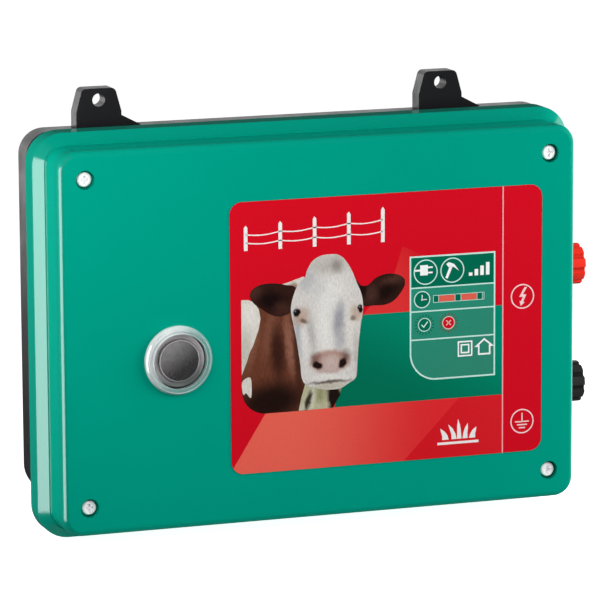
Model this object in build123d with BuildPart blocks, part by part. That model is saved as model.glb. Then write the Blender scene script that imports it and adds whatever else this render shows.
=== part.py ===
from build123d import *
import math
import os

# Mains fence energizer for a wall: a green front cover on a shallow black rear housing, hung from two lugs.
#
# Frame: +X to the right and +Z up for a person facing the front, and the front faces -Y.
# The wall is the plane Y = 0. The origin is midway between the two wall screw holes, on that plane.
# Millimetres throughout.
#
# Most positions are given as (x, z) from the centre of the cover, with d, the depth behind the front face.

os.makedirs("parts", exist_ok=True)

# ---------------------------------------------------------------- driving dimensions

DEPTH = 53.0                                # front face to wall
CENTRE_X = 9.5                              # cover's centre from the origin
CENTRE_Z = -107.5

# Front cover: a raised panel on a wider tier
PANEL_W = 256.0
PANEL_H = 181.0
PANEL_R = 9.5
PANEL_EDGE = 3.0
LEDGE_D = 20.0                              # depth at which the panel steps out to the tier
TIER_STEP = 5.5
TIER_R = 15.0
TIER_BEVEL = 4.6
TIER_SOFTEN = 1.0
STEP_FILLET = 0.4
RIM_D = 35.5                                # rear rim of the cover
COVER_WALL = 2.6
SHOULDER_D = 25.5                           # inside, the wide part starts here

# Rear housing: a flange that closes the cover, and a shallow box behind it
SEAL_GAP = 0.8
FLANGE_INSET = 1.2
FLANGE_T = 2.0
BOX_WALL = 3.0
BOX_TOP = 95.0
BOX_BOTTOM = -90.0
BOX_CORNER_R = 12.0
CORNER_CUT_X = 13.0                         # the two bottom corners are cut off at a slant
CORNER_CUT_Z = 21.0
CORNER_CUT_R = 13.0
BACK_EDGE = 1.5
LIP_H = 4.0
LIP_T = 2.0
LIP_CLEARANCE = 0.3
BACK_RECESS = 1.0
BACK_BORDER = 14.0
BACK_RIB_W = 6.0

# Wall lugs
LUG_SPACING = 171.0
LUG_HOLE_R = 3.1
LUG_FOOT_W = 22.0
LUG_TOP_W = 16.0
LUG_SHOULDER_Z = 102.0
LUG_TOP_Z = 113.0
LUG_T = 9.0
LUG_TOP_R = 2.6
GUSSET_RISE = 5.0
GUSSET_RUN = 9.5

# Corner screws of the cover
SCREW_X = 115.0
SCREW_Z = 77.1
WELL_R = 4.45
WELL_D = 3.8
HEAD_R = 3.45
HEAD_H = 2.2
SHANK_R = 1.95
THREAD_CLEARANCE = 0.05
SCREW_TIP_D = 47.0
COVER_BOSS_R = 5.5
TRAY_BOSS_R = 5.0

# Label foil
LABEL_X0, LABEL_X1 = -45.8, 110.8
LABEL_Z0, LABEL_Z1 = -66.6, 62.6
LABEL_R = 6.0
LABEL_T = 0.25

# Indicator lamp
LAMP_X, LAMP_Z = -71.4, -9.9
LENS_FLANGE_R = 16.5
LENS_NECK_R = 13.6
LENS_BORE_R = 12.6
LENS_RISE = 4.4
DISC_R = 9.5
LAMP_BOARD_D = 12.0

# Side terminals
STUD_D = 40.0                               # depth of the two stud axes
FENCE_Z, EARTH_Z = 15.5, -43.0
STUD_R = 3.0
STUD_COLLAR_R = 4.3
STUD_COLLAR_T = 1.9
WASHER_R = 7.0
WASHER_T = 1.0
NUT_AF = 10.0
NUT_T = 4.8
KNOB_R = 10.0
KNOB_L = 10.4
KNOB_FLUTES = 9
KNOB_TURN = 30.0                            # where the first flute is, in degrees
KNOB_EDGE = 0.4
FLUTE_R = 1.35
INSERT_R = 4.6
RUNNING = 0.05                              # radial clearance of a turning or sliding fit
FACE_GAP = 0.1                              # between faces that press together in use

# Cable inlet
INLET_X = -60.0
INLET_D = 45.1
INLET_BORE_R = 3.3
GROMMET_FLANGE_R = 6.3
GROMMET_NECK_R = 4.8

# Inside
BOARD_X0, BOARD_X1 = -112.0, 50.0
BOARD_Z0, BOARD_Z1 = -54.0, 62.0
BOARD_T = 1.6
BOARD_FACE_D = 41.4                         # component side of the main board
CORE_X, CORE_Z, CORE_D = 84.0, 6.0, 29.5    # centre of the pulse transformer
CORE_LEG = 8.0                              # outer leg of the E and I stampings: all else follows from it
CORE_STACK = 18.0

FLANGE_D = RIM_D + SEAL_GAP                 # front face of the housing's flange
FLANGE_BACK_D = FLANGE_D + FLANGE_T
FLOOR_D = DEPTH - BOX_WALL                  # inner face of the back wall
TIER_W = PANEL_W + 2 * TIER_STEP
TIER_H = PANEL_H + 2 * TIER_STEP
BOX_HALF_W = TIER_W / 2 - FLANGE_INSET
WALL_IN_X = BOX_HALF_W - BOX_WALL
CORNERS = [(sx * SCREW_X, sz * SCREW_Z) for sx in (-1, 1) for sz in (-1, 1)]
TERMINALS = {"fence": FENCE_Z, "earth": EARTH_Z}


# ---------------------------------------------------------------- places

def facing(d, x=0.0, z=0.0):
    """Plane at depth d behind the face, looking out of the front: its X is +X and its Y is +Z."""
    return Plane((CENTRE_X + x, d - DEPTH, CENTRE_Z + z), x_dir=(1, 0, 0), z_dir=(0, -1, 0))


def sideways(x, d, z):
    """Plane across the X axis, looking to the right: its X is towards the wall and its Y is up."""
    return Plane((CENTRE_X + x, d - DEPTH, CENTRE_Z + z), x_dir=(0, 1, 0), z_dir=(1, 0, 0))


def level(z, x, d):
    """Plane across the Z axis, looking up: its X is +X and its Y is towards the wall."""
    return Plane((CENTRE_X + x, d - DEPTH, CENTRE_Z + z), x_dir=(1, 0, 0), z_dir=(0, 0, 1))


def point(x, d, z):
    return (CENTRE_X + x, d - DEPTH, CENTRE_Z + z)


def finish(piece, name):
    """Label a finished piece and write its STEP file."""
    piece.part.label = name
    export_step(piece.part, f"parts/{name}.step")


# ---------------------------------------------------------------- shapes used more than once

def tier_shape(inset):
    """Rounded rectangle concentric with the cover's outline."""
    with BuildSketch() as shape:
        RectangleRounded(TIER_W - 2 * inset, TIER_H - 2 * inset, TIER_R - inset)
    return shape.sketch


def box_shape(inset):
    """Outline of the black box: round top corners, slanting cuts at the bottom ones."""
    with BuildSketch() as shape:
        with BuildLine():
            Polyline(
                (-BOX_HALF_W, BOX_TOP),
                (-BOX_HALF_W, BOX_BOTTOM + CORNER_CUT_Z),
                (-BOX_HALF_W + CORNER_CUT_X, BOX_BOTTOM),
                (BOX_HALF_W - CORNER_CUT_X, BOX_BOTTOM),
                (BOX_HALF_W, BOX_BOTTOM + CORNER_CUT_Z),
                (BOX_HALF_W, BOX_TOP),
                close=True,
            )
        make_face()
        corners = shape.vertices().sort_by(Axis.Y)
        fillet(corners[4:], radius=BOX_CORNER_R)
        fillet(shape.vertices().filter_by_position(Axis.Y, BOX_BOTTOM + 1, 0), radius=CORNER_CUT_R)
        if inset:
            offset(amount=-inset, mode=Mode.REPLACE)
    return shape.sketch


def within_panel(edge):
    """True for an edge on the raised panel's outline, false for one on the tier's."""
    across = max(abs(v.X - CENTRE_X) for v in edge.vertices())
    upward = max(abs(v.Z - CENTRE_Z) for v in edge.vertices())
    return across < PANEL_W / 2 + 0.1 and upward < PANEL_H / 2 + 0.1


def cross_recess(plane, size, depth):
    """Tool for the cross in a screw head, to be cut with the caller's own mode."""
    with BuildPart(plane, mode=Mode.PRIVATE) as tool:
        with BuildSketch(plane):
            Rectangle(size, size * 0.28)
            Rectangle(size * 0.28, size)
        extrude(amount=-depth)
        with BuildSketch(plane.offset(-depth)):
            Circle(size * 0.22)
        extrude(amount=depth * 0.9)
    return tool.part


def headed_screws(places, seat_d, head_r, head_h, shank_r, length):
    """A group of equal pan head screws that point at the wall, each with a cross recess."""
    with BuildPart() as screws:
        for x, z in places:
            with BuildSketch(facing(seat_d, x, z)):
                Circle(head_r)
            extrude(amount=head_h)
        heads = screws.faces().filter_by(Axis.Y).group_by(Axis.Y)[0]
        fillet(heads.edges(), radius=head_h * 0.4)
        for x, z in places:
            with BuildSketch(facing(seat_d, x, z)):
                Circle(shank_r)
            extrude(amount=-length)
        tips = screws.faces().filter_by(Axis.Y).group_by(Axis.Y)[-1]
        chamfer(tips.edges(), length=shank_r * 0.45)
        for x, z in places:
            top = facing(seat_d - head_h, x, z)
            add(cross_recess(top, head_r * 1.1, head_h * 0.6), mode=Mode.SUBTRACT)
    return screws


def block(x0, x1, d0, d1, z0, z1, soften=0.0):
    """A plain block on the main board, with softened front edges."""
    with BuildPart() as body:
        with BuildSketch(facing(d1, (x0 + x1) / 2, (z0 + z1) / 2)):
            Rectangle(x1 - x0, z1 - z0)
        extrude(amount=d1 - d0)
        if soften:
            fillet(body.edges().filter_by(Axis.Y) + body.faces().sort_by(Axis.Y)[0].edges(), radius=soften)
    return body


def wire(points, radius, bend):
    """A round lead along straight runs joined by tangent arcs."""
    with BuildPart() as lead:
        with BuildLine() as route:
            if len(points) > 2:
                FilletPolyline(*points, radius=bend)
            else:
                Line(*points)
        start = route.wire() @ 0
        heading = route.wire() % 0
        with BuildSketch(Plane(start, z_dir=heading)):
            Circle(radius)
        sweep(path=route.wire())
    return lead


# ---------------------------------------------------------------- rear housing

RECESS_W = 2 * BOX_HALF_W - 2 * BACK_BORDER
RECESS_H = BOX_TOP - BOX_BOTTOM - CORNER_CUT_Z - 2 * BACK_BORDER
RECESS_Z = (BOX_TOP - BACK_BORDER) - RECESS_H / 2
BOARD_HOLES = [(x, z) for x in (BOARD_X0 + 6, BOARD_X1 - 6) for z in (BOARD_Z0 + 6, BOARD_Z1 - 6)]
BRACKET_X = 3 * CORE_LEG + 0.8 + 4.5        # transformer foot screws, either side of the core
FOOT_HOLES = [(CORE_X - BRACKET_X, CORE_Z), (CORE_X + BRACKET_X, CORE_Z)]
CLAMP_Z = -73.0
CLAMP_HALF = 9.5
CLAMP_HOLES = [(INLET_X - CLAMP_HALF, CLAMP_Z), (INLET_X + CLAMP_HALF, CLAMP_Z)]
CLAMP_SEAT_D = INLET_D - 3.0
FOOT_SEAT_D = 46.0
BOARD_SEAT_D = BOARD_FACE_D + BOARD_T
INNER_POSTS = (
    (BOARD_HOLES, BOARD_SEAT_D, 3.6, 1.5),
    (FOOT_HOLES, FOOT_SEAT_D, 3.6, 1.5),
    (CLAMP_HOLES, CLAMP_SEAT_D, 3.2, 1.3),
)

with BuildPart() as rear_housing:
    # box and flange
    with BuildSketch(facing(DEPTH)):
        add(box_shape(0))
    extrude(amount=DEPTH - FLANGE_BACK_D)
    fillet(rear_housing.faces().sort_by(Axis.Y)[-1].edges(), radius=BACK_EDGE)
    with BuildSketch(facing(FLANGE_BACK_D)):
        add(tier_shape(FLANGE_INSET))
    extrude(amount=FLANGE_T)

    # hollow
    with BuildSketch(facing(FLOOR_D)):
        add(box_shape(BOX_WALL))
    extrude(amount=FLOOR_D - FLANGE_D, mode=Mode.SUBTRACT)

    # lip inside the cover's skirt, left open in front of each terminal
    lip_inset = COVER_WALL + LIP_CLEARANCE
    with BuildSketch(facing(FLANGE_D)):
        add(tier_shape(lip_inset))
        add(tier_shape(lip_inset + LIP_T), mode=Mode.SUBTRACT)
        for z in TERMINALS.values():
            with Locations((TIER_W / 2, z)):
                Rectangle(4 * lip_inset, 20.0, mode=Mode.SUBTRACT)
    extrude(amount=LIP_H)

    # wall lugs with a gusset on their right
    for side in (-1, 1):
        with BuildSketch(Plane((side * LUG_SPACING / 2, 0, CENTRE_Z), x_dir=(1, 0, 0), z_dir=(0, -1, 0))):
            with BuildLine():
                Polyline(
                    (-LUG_FOOT_W / 2, BOX_TOP - 1),
                    (-LUG_FOOT_W / 2, LUG_SHOULDER_Z),
                    (-LUG_TOP_W / 2, LUG_TOP_Z),
                    (LUG_TOP_W / 2, LUG_TOP_Z),
                    (LUG_FOOT_W / 2, LUG_SHOULDER_Z),
                    (LUG_FOOT_W / 2, BOX_TOP + GUSSET_RISE),
                    (LUG_FOOT_W / 2 + GUSSET_RUN, BOX_TOP),
                    (LUG_FOOT_W / 2 + GUSSET_RUN, BOX_TOP - 1),
                    close=True,
                )
            lug = make_face()
            fillet(lug.vertices().sort_by(Axis.Y)[-2:], radius=LUG_TOP_R)
            with Locations((0, -CENTRE_Z)):
                Circle(LUG_HOLE_R, mode=Mode.SUBTRACT)
        extrude(amount=LUG_T)

    # pillars for the cover screws, and posts for what is screwed to the back wall
    for x, z in CORNERS:
        with BuildSketch(facing(FLOOR_D, x, z)):
            Circle(TRAY_BOSS_R)
        extrude(amount=FLOOR_D - FLANGE_D)
        with BuildSketch(facing(FLANGE_D, x, z)):
            Circle(SHANK_R + THREAD_CLEARANCE)
        extrude(amount=FLANGE_D - SCREW_TIP_D - 0.5, mode=Mode.SUBTRACT)
    for places, seat_d, post_r, pilot_r in INNER_POSTS:
        for x, z in places:
            with BuildSketch(facing(FLOOR_D, x, z)):
                Circle(post_r)
            extrude(amount=FLOOR_D - seat_d)
            with BuildSketch(facing(seat_d, x, z)):
                Circle(pilot_r)
            extrude(amount=seat_d - FLOOR_D, mode=Mode.SUBTRACT)

    # holes for the studs and the cable inlet
    for z in TERMINALS.values():
        with BuildSketch(sideways(WALL_IN_X - 1, STUD_D, z)):
            Circle(STUD_R + 0.1)
        extrude(amount=BOX_WALL + 2, mode=Mode.SUBTRACT)
    with BuildSketch(level(BOX_BOTTOM - 1, INLET_X, INLET_D)):
        Circle(GROMMET_NECK_R)
    extrude(amount=BOX_WALL + 2, mode=Mode.SUBTRACT)

    # shallow recess on the back, crossed by two ribs that stay level with the border
    with BuildSketch(facing(DEPTH, 0, RECESS_Z)):
        RectangleRounded(RECESS_W, RECESS_H, 8.0)
        with Locations((-RECESS_W / 6, 0), (RECESS_W / 6, 0)):
            Rectangle(BACK_RIB_W, RECESS_H, mode=Mode.SUBTRACT)
    extrude(amount=BACK_RECESS, mode=Mode.SUBTRACT)
finish(rear_housing, "rear_housing")

# ---------------------------------------------------------------- front cover

with BuildPart() as front_cover:
    with BuildSketch(facing(RIM_D)):
        add(tier_shape(0))
    extrude(amount=RIM_D - LEDGE_D)
    chamfer(front_cover.faces().sort_by(Axis.Y)[0].edges(), length=TIER_BEVEL)
    bevel_rear = LEDGE_D + TIER_BEVEL - DEPTH
    fillet(front_cover.edges().filter_by_position(Axis.Y, bevel_rear - 0.1, bevel_rear + 0.1), radius=TIER_SOFTEN)
    with BuildSketch(facing(LEDGE_D)):
        RectangleRounded(PANEL_W, PANEL_H, PANEL_R)
    extrude(amount=LEDGE_D)
    ledge_edges = front_cover.edges().filter_by_position(Axis.Y, LEDGE_D - DEPTH - 0.1, LEDGE_D - DEPTH + 0.1)
    fillet(ledge_edges.filter_by(within_panel), radius=STEP_FILLET)
    fillet(front_cover.faces().sort_by(Axis.Y)[0].edges(), radius=PANEL_EDGE)

    # hollow: the wide part behind the tier, then the panel
    with BuildSketch(facing(RIM_D)):
        add(tier_shape(COVER_WALL))
    extrude(amount=RIM_D - SHOULDER_D, mode=Mode.SUBTRACT)
    with BuildSketch(facing(SHOULDER_D)):
        RectangleRounded(PANEL_W - 2 * COVER_WALL, PANEL_H - 2 * COVER_WALL, PANEL_R - COVER_WALL)
    extrude(amount=SHOULDER_D - COVER_WALL, mode=Mode.SUBTRACT)

    # pillars for the corner screws, with a rib to the nearest side wall
    for x, z in CORNERS:
        with BuildSketch(facing(RIM_D, x, z)):
            Circle(COVER_BOSS_R)
            with Locations((math.copysign(COVER_BOSS_R, x), 0)):
                Rectangle(2 * COVER_BOSS_R, 2.0)
        extrude(amount=RIM_D - COVER_WALL)
        with BuildSketch(facing(0, x, z)):
            Circle(WELL_R)
        extrude(amount=-WELL_D, mode=Mode.SUBTRACT)
        with BuildSketch(facing(0, x, z)):
            Circle(SHANK_R + 0.15)
        extrude(amount=-RIM_D, mode=Mode.SUBTRACT)

    # lamp opening, with a seat for the seal under the lens flange
    with BuildSketch(facing(0, LAMP_X, LAMP_Z)):
        Circle(LENS_NECK_R + 0.2)
    extrude(amount=-COVER_WALL, mode=Mode.SUBTRACT)
    with BuildSketch(facing(0, LAMP_X, LAMP_Z)):
        Circle(LENS_FLANGE_R - 1.0)
    extrude(amount=-0.8, mode=Mode.SUBTRACT)
finish(front_cover, "front_cover")

with BuildPart() as cover_gasket:
    with BuildSketch(facing(FLANGE_D)):
        add(tier_shape(FLANGE_INSET))
        add(tier_shape(COVER_WALL), mode=Mode.SUBTRACT)
    extrude(amount=SEAL_GAP)
finish(cover_gasket, "cover_gasket")

cover_screws = headed_screws(CORNERS, WELL_D, HEAD_R, HEAD_H, SHANK_R, SCREW_TIP_D - WELL_D)
finish(cover_screws, "cover_screws")

with BuildPart() as front_label:
    with BuildSketch(facing(0, (LABEL_X0 + LABEL_X1) / 2, (LABEL_Z0 + LABEL_Z1) / 2)):
        RectangleRounded(LABEL_X1 - LABEL_X0, LABEL_Z1 - LABEL_Z0, LABEL_R)
    extrude(amount=LABEL_T)
finish(front_label, "front_label")

# ---------------------------------------------------------------- indicator lamp

def lamp_ring(r_in, r_out, d_front, d_back):
    """A flat ring or disc about the lamp's axis."""
    with BuildPart() as ring:
        with BuildSketch(facing(d_back, LAMP_X, LAMP_Z)):
            Circle(r_out)
            if r_in:
                Circle(r_in, mode=Mode.SUBTRACT)
        extrude(amount=d_back - d_front)
    return ring


with BuildPart() as indicator_lens:
    with BuildSketch(facing(0, LAMP_X, LAMP_Z)):
        Circle(LENS_FLANGE_R)
    extrude(amount=2.6)
    fillet(indicator_lens.faces().sort_by(Axis.Y)[0].edges(), radius=2.0)
    with BuildSketch(facing(0, LAMP_X, LAMP_Z)):
        Circle(LENS_NECK_R - 0.4)
    extrude(amount=LENS_RISE)
    fillet(indicator_lens.faces().sort_by(Axis.Y)[0].edges(), radius=1.2)
    with BuildSketch(facing(0, LAMP_X, LAMP_Z)):
        Circle(LENS_NECK_R)
    extrude(amount=-9.0)
    with BuildSketch(facing(9.0, LAMP_X, LAMP_Z)):
        Circle(LENS_BORE_R)
    extrude(amount=9.0 + LENS_RISE - 1.4, mode=Mode.SUBTRACT)
finish(indicator_lens, "indicator_lens")

lens_seal = lamp_ring(LENS_NECK_R + 0.1, LENS_FLANGE_R - 1.1, 0.0, 0.8)
finish(lens_seal, "lens_seal")

with BuildPart() as lens_retaining_ring:
    with BuildSketch(facing(COVER_WALL + 4.0, LAMP_X, LAMP_Z)):
        Circle(17.0)
        Circle(LENS_NECK_R + THREAD_CLEARANCE, mode=Mode.SUBTRACT)
        with PolarLocations(17.0, 6):
            Rectangle(2.4, 4.0, mode=Mode.SUBTRACT)
    extrude(amount=4.0)
finish(lens_retaining_ring, "lens_retaining_ring")

with BuildPart() as lamp_cup:
    with BuildSketch(facing(LAMP_BOARD_D, LAMP_X, LAMP_Z)):
        Circle(LENS_BORE_R - 0.1)
        Circle(DISC_R + 0.1, mode=Mode.SUBTRACT)
    extrude(amount=LAMP_BOARD_D + 0.6)
    chamfer(lamp_cup.faces().sort_by(Axis.Y)[0].edges().sort_by(SortBy.LENGTH)[0], length=1.0)
finish(lamp_cup, "lamp_cup")

with BuildPart() as lamp_disc:
    with BuildSketch(facing(1.0, LAMP_X, LAMP_Z)):
        Circle(DISC_R)
    extrude(amount=3.2)
    fillet(lamp_disc.faces().sort_by(Axis.Y)[0].edges(), radius=0.8)
finish(lamp_disc, "lamp_disc")

lamp_board = lamp_ring(0, LENS_BORE_R - 0.4, LAMP_BOARD_D, LAMP_BOARD_D + 1.2)
finish(lamp_board, "lamp_board")

for name, x in {"green_led": -3.6, "red_led": 3.6}.items():
    with BuildPart() as led:
        with BuildSketch(facing(LAMP_BOARD_D, LAMP_X + x, LAMP_Z)):
            Circle(2.9)
        extrude(amount=1.2)
        with BuildSketch(facing(LAMP_BOARD_D, LAMP_X + x, LAMP_Z)):
            Circle(2.5)
        extrude(amount=8.4)
        fillet(led.faces().sort_by(Axis.Y)[0].edges(), radius=2.3)
    finish(led, name)

# ---------------------------------------------------------------- main board and what is soldered to it

with BuildPart() as circuit_board:
    with BuildSketch(facing(BOARD_SEAT_D, (BOARD_X0 + BOARD_X1) / 2, (BOARD_Z0 + BOARD_Z1) / 2)):
        RectangleRounded(BOARD_X1 - BOARD_X0, BOARD_Z1 - BOARD_Z0, 2.0)
        with GridLocations(BOARD_X1 - BOARD_X0 - 12, BOARD_Z1 - BOARD_Z0 - 12, 2, 2):
            Circle(1.7, mode=Mode.SUBTRACT)
    extrude(amount=BOARD_T)
finish(circuit_board, "circuit_board")

board_screws = headed_screws(BOARD_HOLES, BOARD_FACE_D, 2.8, 2.0, 1.45, 7.0)
finish(board_screws, "board_screws")

CAP_R, CAP_L = 14.0, 46.0
CAP_X, CAP_Z, CAP_D = -18.0, 40.0, BOARD_FACE_D - 14.3

with BuildPart() as storage_capacitor:
    with BuildSketch(sideways(CAP_X, CAP_D, CAP_Z)):
        Circle(CAP_R)
    extrude(amount=CAP_L)
    fillet(storage_capacitor.faces().filter_by(Axis.X).edges(), radius=1.2)
    with BuildSketch(sideways(CAP_X + CAP_L - 5.5, CAP_D, CAP_Z)):
        Circle(CAP_R)
        Circle(CAP_R - 0.8, mode=Mode.SUBTRACT)
    extrude(amount=1.4, mode=Mode.SUBTRACT)
    for z in (-5, 5):
        with BuildSketch(sideways(CAP_X + CAP_L, CAP_D, CAP_Z + z)):
            Circle(1.6)
        extrude(amount=3.0)
finish(storage_capacitor, "storage_capacitor")

suppression_capacitor = block(-103, -77, 25, BOARD_FACE_D, -14, 0, soften=0.8)
finish(suppression_capacitor, "suppression_capacitor")

with BuildPart() as varistor:
    with BuildSketch(sideways(-98, BOARD_FACE_D - 10.5, 22)):
        Circle(7.2)
    extrude(amount=4.4)
    fillet(varistor.faces().filter_by(Axis.X).edges(), radius=1.6)
    for z in (-3.5, 3.5):
        with BuildSketch(facing(BOARD_FACE_D, -95.8, 22 + z)):
            Circle(0.5)
        extrude(amount=5.0)
finish(varistor, "varistor")

FUSE_X, FUSE_Z, FUSE_D = -78.0, 42.0, BOARD_FACE_D - 6.0

with BuildPart() as fuse:
    with BuildSketch(sideways(FUSE_X, FUSE_D, FUSE_Z)):
        Circle(2.5)
    extrude(amount=20.0)
    for x in (FUSE_X - 0.1, FUSE_X + 15.1):
        with BuildSketch(sideways(x, FUSE_D, FUSE_Z)):
            Circle(2.65)
        extrude(amount=5.0)
finish(fuse, "fuse")

with BuildPart() as fuse_clips:
    for x in (FUSE_X + 0.5, FUSE_X + 15.5):
        with BuildSketch(sideways(x, FUSE_D, FUSE_Z)):
            Circle(3.2)
            Circle(2.7, mode=Mode.SUBTRACT)
            with Locations((-3.5, 0)):
                Rectangle(5.0, 3.6, mode=Mode.SUBTRACT)
            with Locations((4.4, 0)):
                Rectangle(3.2, 3.0)
        extrude(amount=4.0)
finish(fuse_clips, "fuse_clips")

with BuildPart() as timer_chip:
    with BuildSketch(facing(BOARD_FACE_D - 0.8, -38, 12)):
        Rectangle(19.2, 6.4)
        with Locations((-9.6, 0)):
            Circle(1.0, mode=Mode.SUBTRACT)
    extrude(amount=3.4)
    with BuildSketch(facing(BOARD_FACE_D, -38, 12)):
        with GridLocations(2.54, 7.6, 7, 2):
            Rectangle(1.2, 1.4)
    extrude(amount=2.6)
finish(timer_chip, "timer_chip")


def axial_parts(places, body_r, body_l, lift):
    """Diodes that lie along Z above the board, each on two bent wires."""
    with BuildPart() as group:
        for x, z in places:
            with BuildSketch(level(z - body_l / 2, x, BOARD_FACE_D - lift)):
                Circle(body_r)
            extrude(amount=body_l)
            with BuildSketch(level(z - body_l / 2 - 2.5, x, BOARD_FACE_D - lift)):
                Circle(0.5)
            extrude(amount=body_l + 5.0)
            for end in (-1, 1):
                with BuildSketch(facing(BOARD_FACE_D, x, z + end * (body_l / 2 + 2.4))):
                    Circle(0.5)
                extrude(amount=lift)
    return group


diodes = axial_parts([(x, 8) for x in (-8, 1, 10, 19)], 2.6, 9.0, 3.4)
finish(diodes, "diodes")

with BuildPart() as charging_resistors:
    for z in (-12, -26):
        with BuildSketch(facing(BOARD_FACE_D - 1.5, -34, z)):
            Rectangle(23.0, 9.5)
        extrude(amount=9.0)
        for x in (-9, 9):
            with BuildSketch(facing(BOARD_FACE_D, -34 + x, z)):
                Circle(0.5)
            extrude(amount=1.6)
finish(charging_resistors, "charging_resistors")

SINK_X, SINK_Z = 22.0, -30.0

with BuildPart() as heat_sink:
    with BuildSketch(facing(BOARD_FACE_D, SINK_X, SINK_Z)):
        Rectangle(26.0, 2.4)
        with GridLocations(5.0, 0, 6, 1):
            with Locations((0, -6.0)):
                Rectangle(1.2, 11.0)
    extrude(amount=25.0)
finish(heat_sink, "heat_sink")

with BuildPart() as thyristor:
    with BuildSketch(facing(BOARD_FACE_D - 5.0, SINK_X, SINK_Z + 1.25 + 2.3)):
        Rectangle(10.2, 4.5)
    extrude(amount=9.2)
    with BuildSketch(facing(BOARD_FACE_D - 5.0, SINK_X, SINK_Z + 1.25 + 0.65)):
        Rectangle(10.2, 1.3)
    extrude(amount=15.6)
    with BuildSketch(facing(BOARD_FACE_D, SINK_X, SINK_Z + 1.25 + 2.6)):
        with GridLocations(2.54, 0, 3, 1):
            Rectangle(0.9, 0.6)
    extrude(amount=5.0)
finish(thyristor, "thyristor")

BLOCK_X, BLOCK_Z = -60.0, -44.0

with BuildPart() as mains_terminal_block:
    with BuildSketch(facing(BOARD_FACE_D, BLOCK_X, BLOCK_Z)):
        Rectangle(20.4, 12.0)
    extrude(amount=12.5)
    chamfer(mains_terminal_block.faces().sort_by(Axis.Y)[0].edges().filter_by(Axis.X), length=2.0)
    for x in (-5.1, 5.1):
        with BuildSketch(level(BLOCK_Z - 6.0, BLOCK_X + x, BOARD_FACE_D - 4.5)):
            Rectangle(5.0, 5.0)
        extrude(amount=7.0, mode=Mode.SUBTRACT)
        with BuildSketch(facing(BOARD_FACE_D - 12.5, BLOCK_X + x, BLOCK_Z + 1.0)):
            Circle(2.4)
        extrude(amount=-6.0, mode=Mode.SUBTRACT)
finish(mains_terminal_block, "mains_terminal_block")

terminal_block_screws = headed_screws(
    [(BLOCK_X - 5.1, BLOCK_Z + 1.0), (BLOCK_X + 5.1, BLOCK_Z + 1.0)], BOARD_FACE_D - 8.2, 2.2, 1.6, 1.2, 1.6
)
finish(terminal_block_screws, "terminal_block_screws")

# ---------------------------------------------------------------- pulse transformer

CORE_W = 6 * CORE_LEG
CORE_H = 5 * CORE_LEG
WINDOW_H = 3 * CORE_LEG

with BuildPart() as transformer_core:
    with BuildSketch(facing(CORE_D + CORE_STACK / 2, CORE_X, CORE_Z)):
        Rectangle(CORE_W, CORE_H)
        with Locations((-1.5 * CORE_LEG, 0), (1.5 * CORE_LEG, 0)):
            Rectangle(CORE_LEG, WINDOW_H, mode=Mode.SUBTRACT)
    extrude(amount=CORE_STACK)
finish(transformer_core, "transformer_core")


def coil_layer(grow_in, grow_out, height):
    """A rectangular ring round the core's middle leg, between two distances from it."""
    with BuildPart() as layer:
        with BuildSketch(level(CORE_Z - height / 2, CORE_X, CORE_D)):
            RectangleRounded(2 * (CORE_LEG + grow_out), CORE_STACK + 2 * grow_out, max(grow_out - 0.3, 0.3))
            RectangleRounded(
                2 * (CORE_LEG + grow_in), CORE_STACK + 2 * grow_in, max(grow_in - 0.3, 0.2), mode=Mode.SUBTRACT
            )
        extrude(amount=height)
    return layer


TUBE_OUT, PRIMARY_OUT, SECONDARY_OUT, CHEEK_OUT = 1.2, 3.8, 6.9, 7.6
COIL_H = WINDOW_H - 3.0

with BuildPart() as transformer_bobbin:
    add(coil_layer(0.2, TUBE_OUT, WINDOW_H - 0.4).part)
    for z in (CORE_Z + COIL_H / 2 + 0.1, CORE_Z - WINDOW_H / 2 + 0.2):
        with BuildSketch(level(z, CORE_X, CORE_D)):
            Rectangle(2 * (CORE_LEG + CHEEK_OUT), CORE_STACK + 2 * CHEEK_OUT)
            Rectangle(2 * (CORE_LEG + 0.2), CORE_STACK + 0.4, mode=Mode.SUBTRACT)
        extrude(amount=1.2)
finish(transformer_bobbin, "transformer_bobbin")

primary_winding = coil_layer(TUBE_OUT + 0.05, PRIMARY_OUT, COIL_H)
finish(primary_winding, "primary_winding")
secondary_winding = coil_layer(PRIMARY_OUT + 0.1, SECONDARY_OUT, COIL_H)
finish(secondary_winding, "secondary_winding")

with BuildPart() as transformer_brackets:
    for side in (-1, 1):
        with BuildSketch(level(CORE_Z - 9, CORE_X, 0)):
            with BuildLine():
                Polyline(
                    (side * (CORE_W / 2 + 0.05), CORE_D - CORE_STACK / 2),
                    (side * (CORE_W / 2 + 1.05), CORE_D - CORE_STACK / 2),
                    (side * (CORE_W / 2 + 1.05), FOOT_SEAT_D - 1.0),
                    (side * (BRACKET_X + 4.5), FOOT_SEAT_D - 1.0),
                    (side * (BRACKET_X + 4.5), FOOT_SEAT_D),
                    (side * (CORE_W / 2 + 0.05), FOOT_SEAT_D),
                    close=True,
                )
            make_face()
        extrude(amount=18.0)
        with BuildSketch(facing(FOOT_SEAT_D, CORE_X + side * BRACKET_X, CORE_Z)):
            Circle(1.7)
        extrude(amount=2.0, mode=Mode.SUBTRACT)
finish(transformer_brackets, "transformer_brackets")

transformer_screws = headed_screws(FOOT_HOLES, FOOT_SEAT_D - 1.0, 2.8, 2.0, 1.45, 4.6)
finish(transformer_screws, "transformer_screws")

# ---------------------------------------------------------------- side terminals

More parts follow.
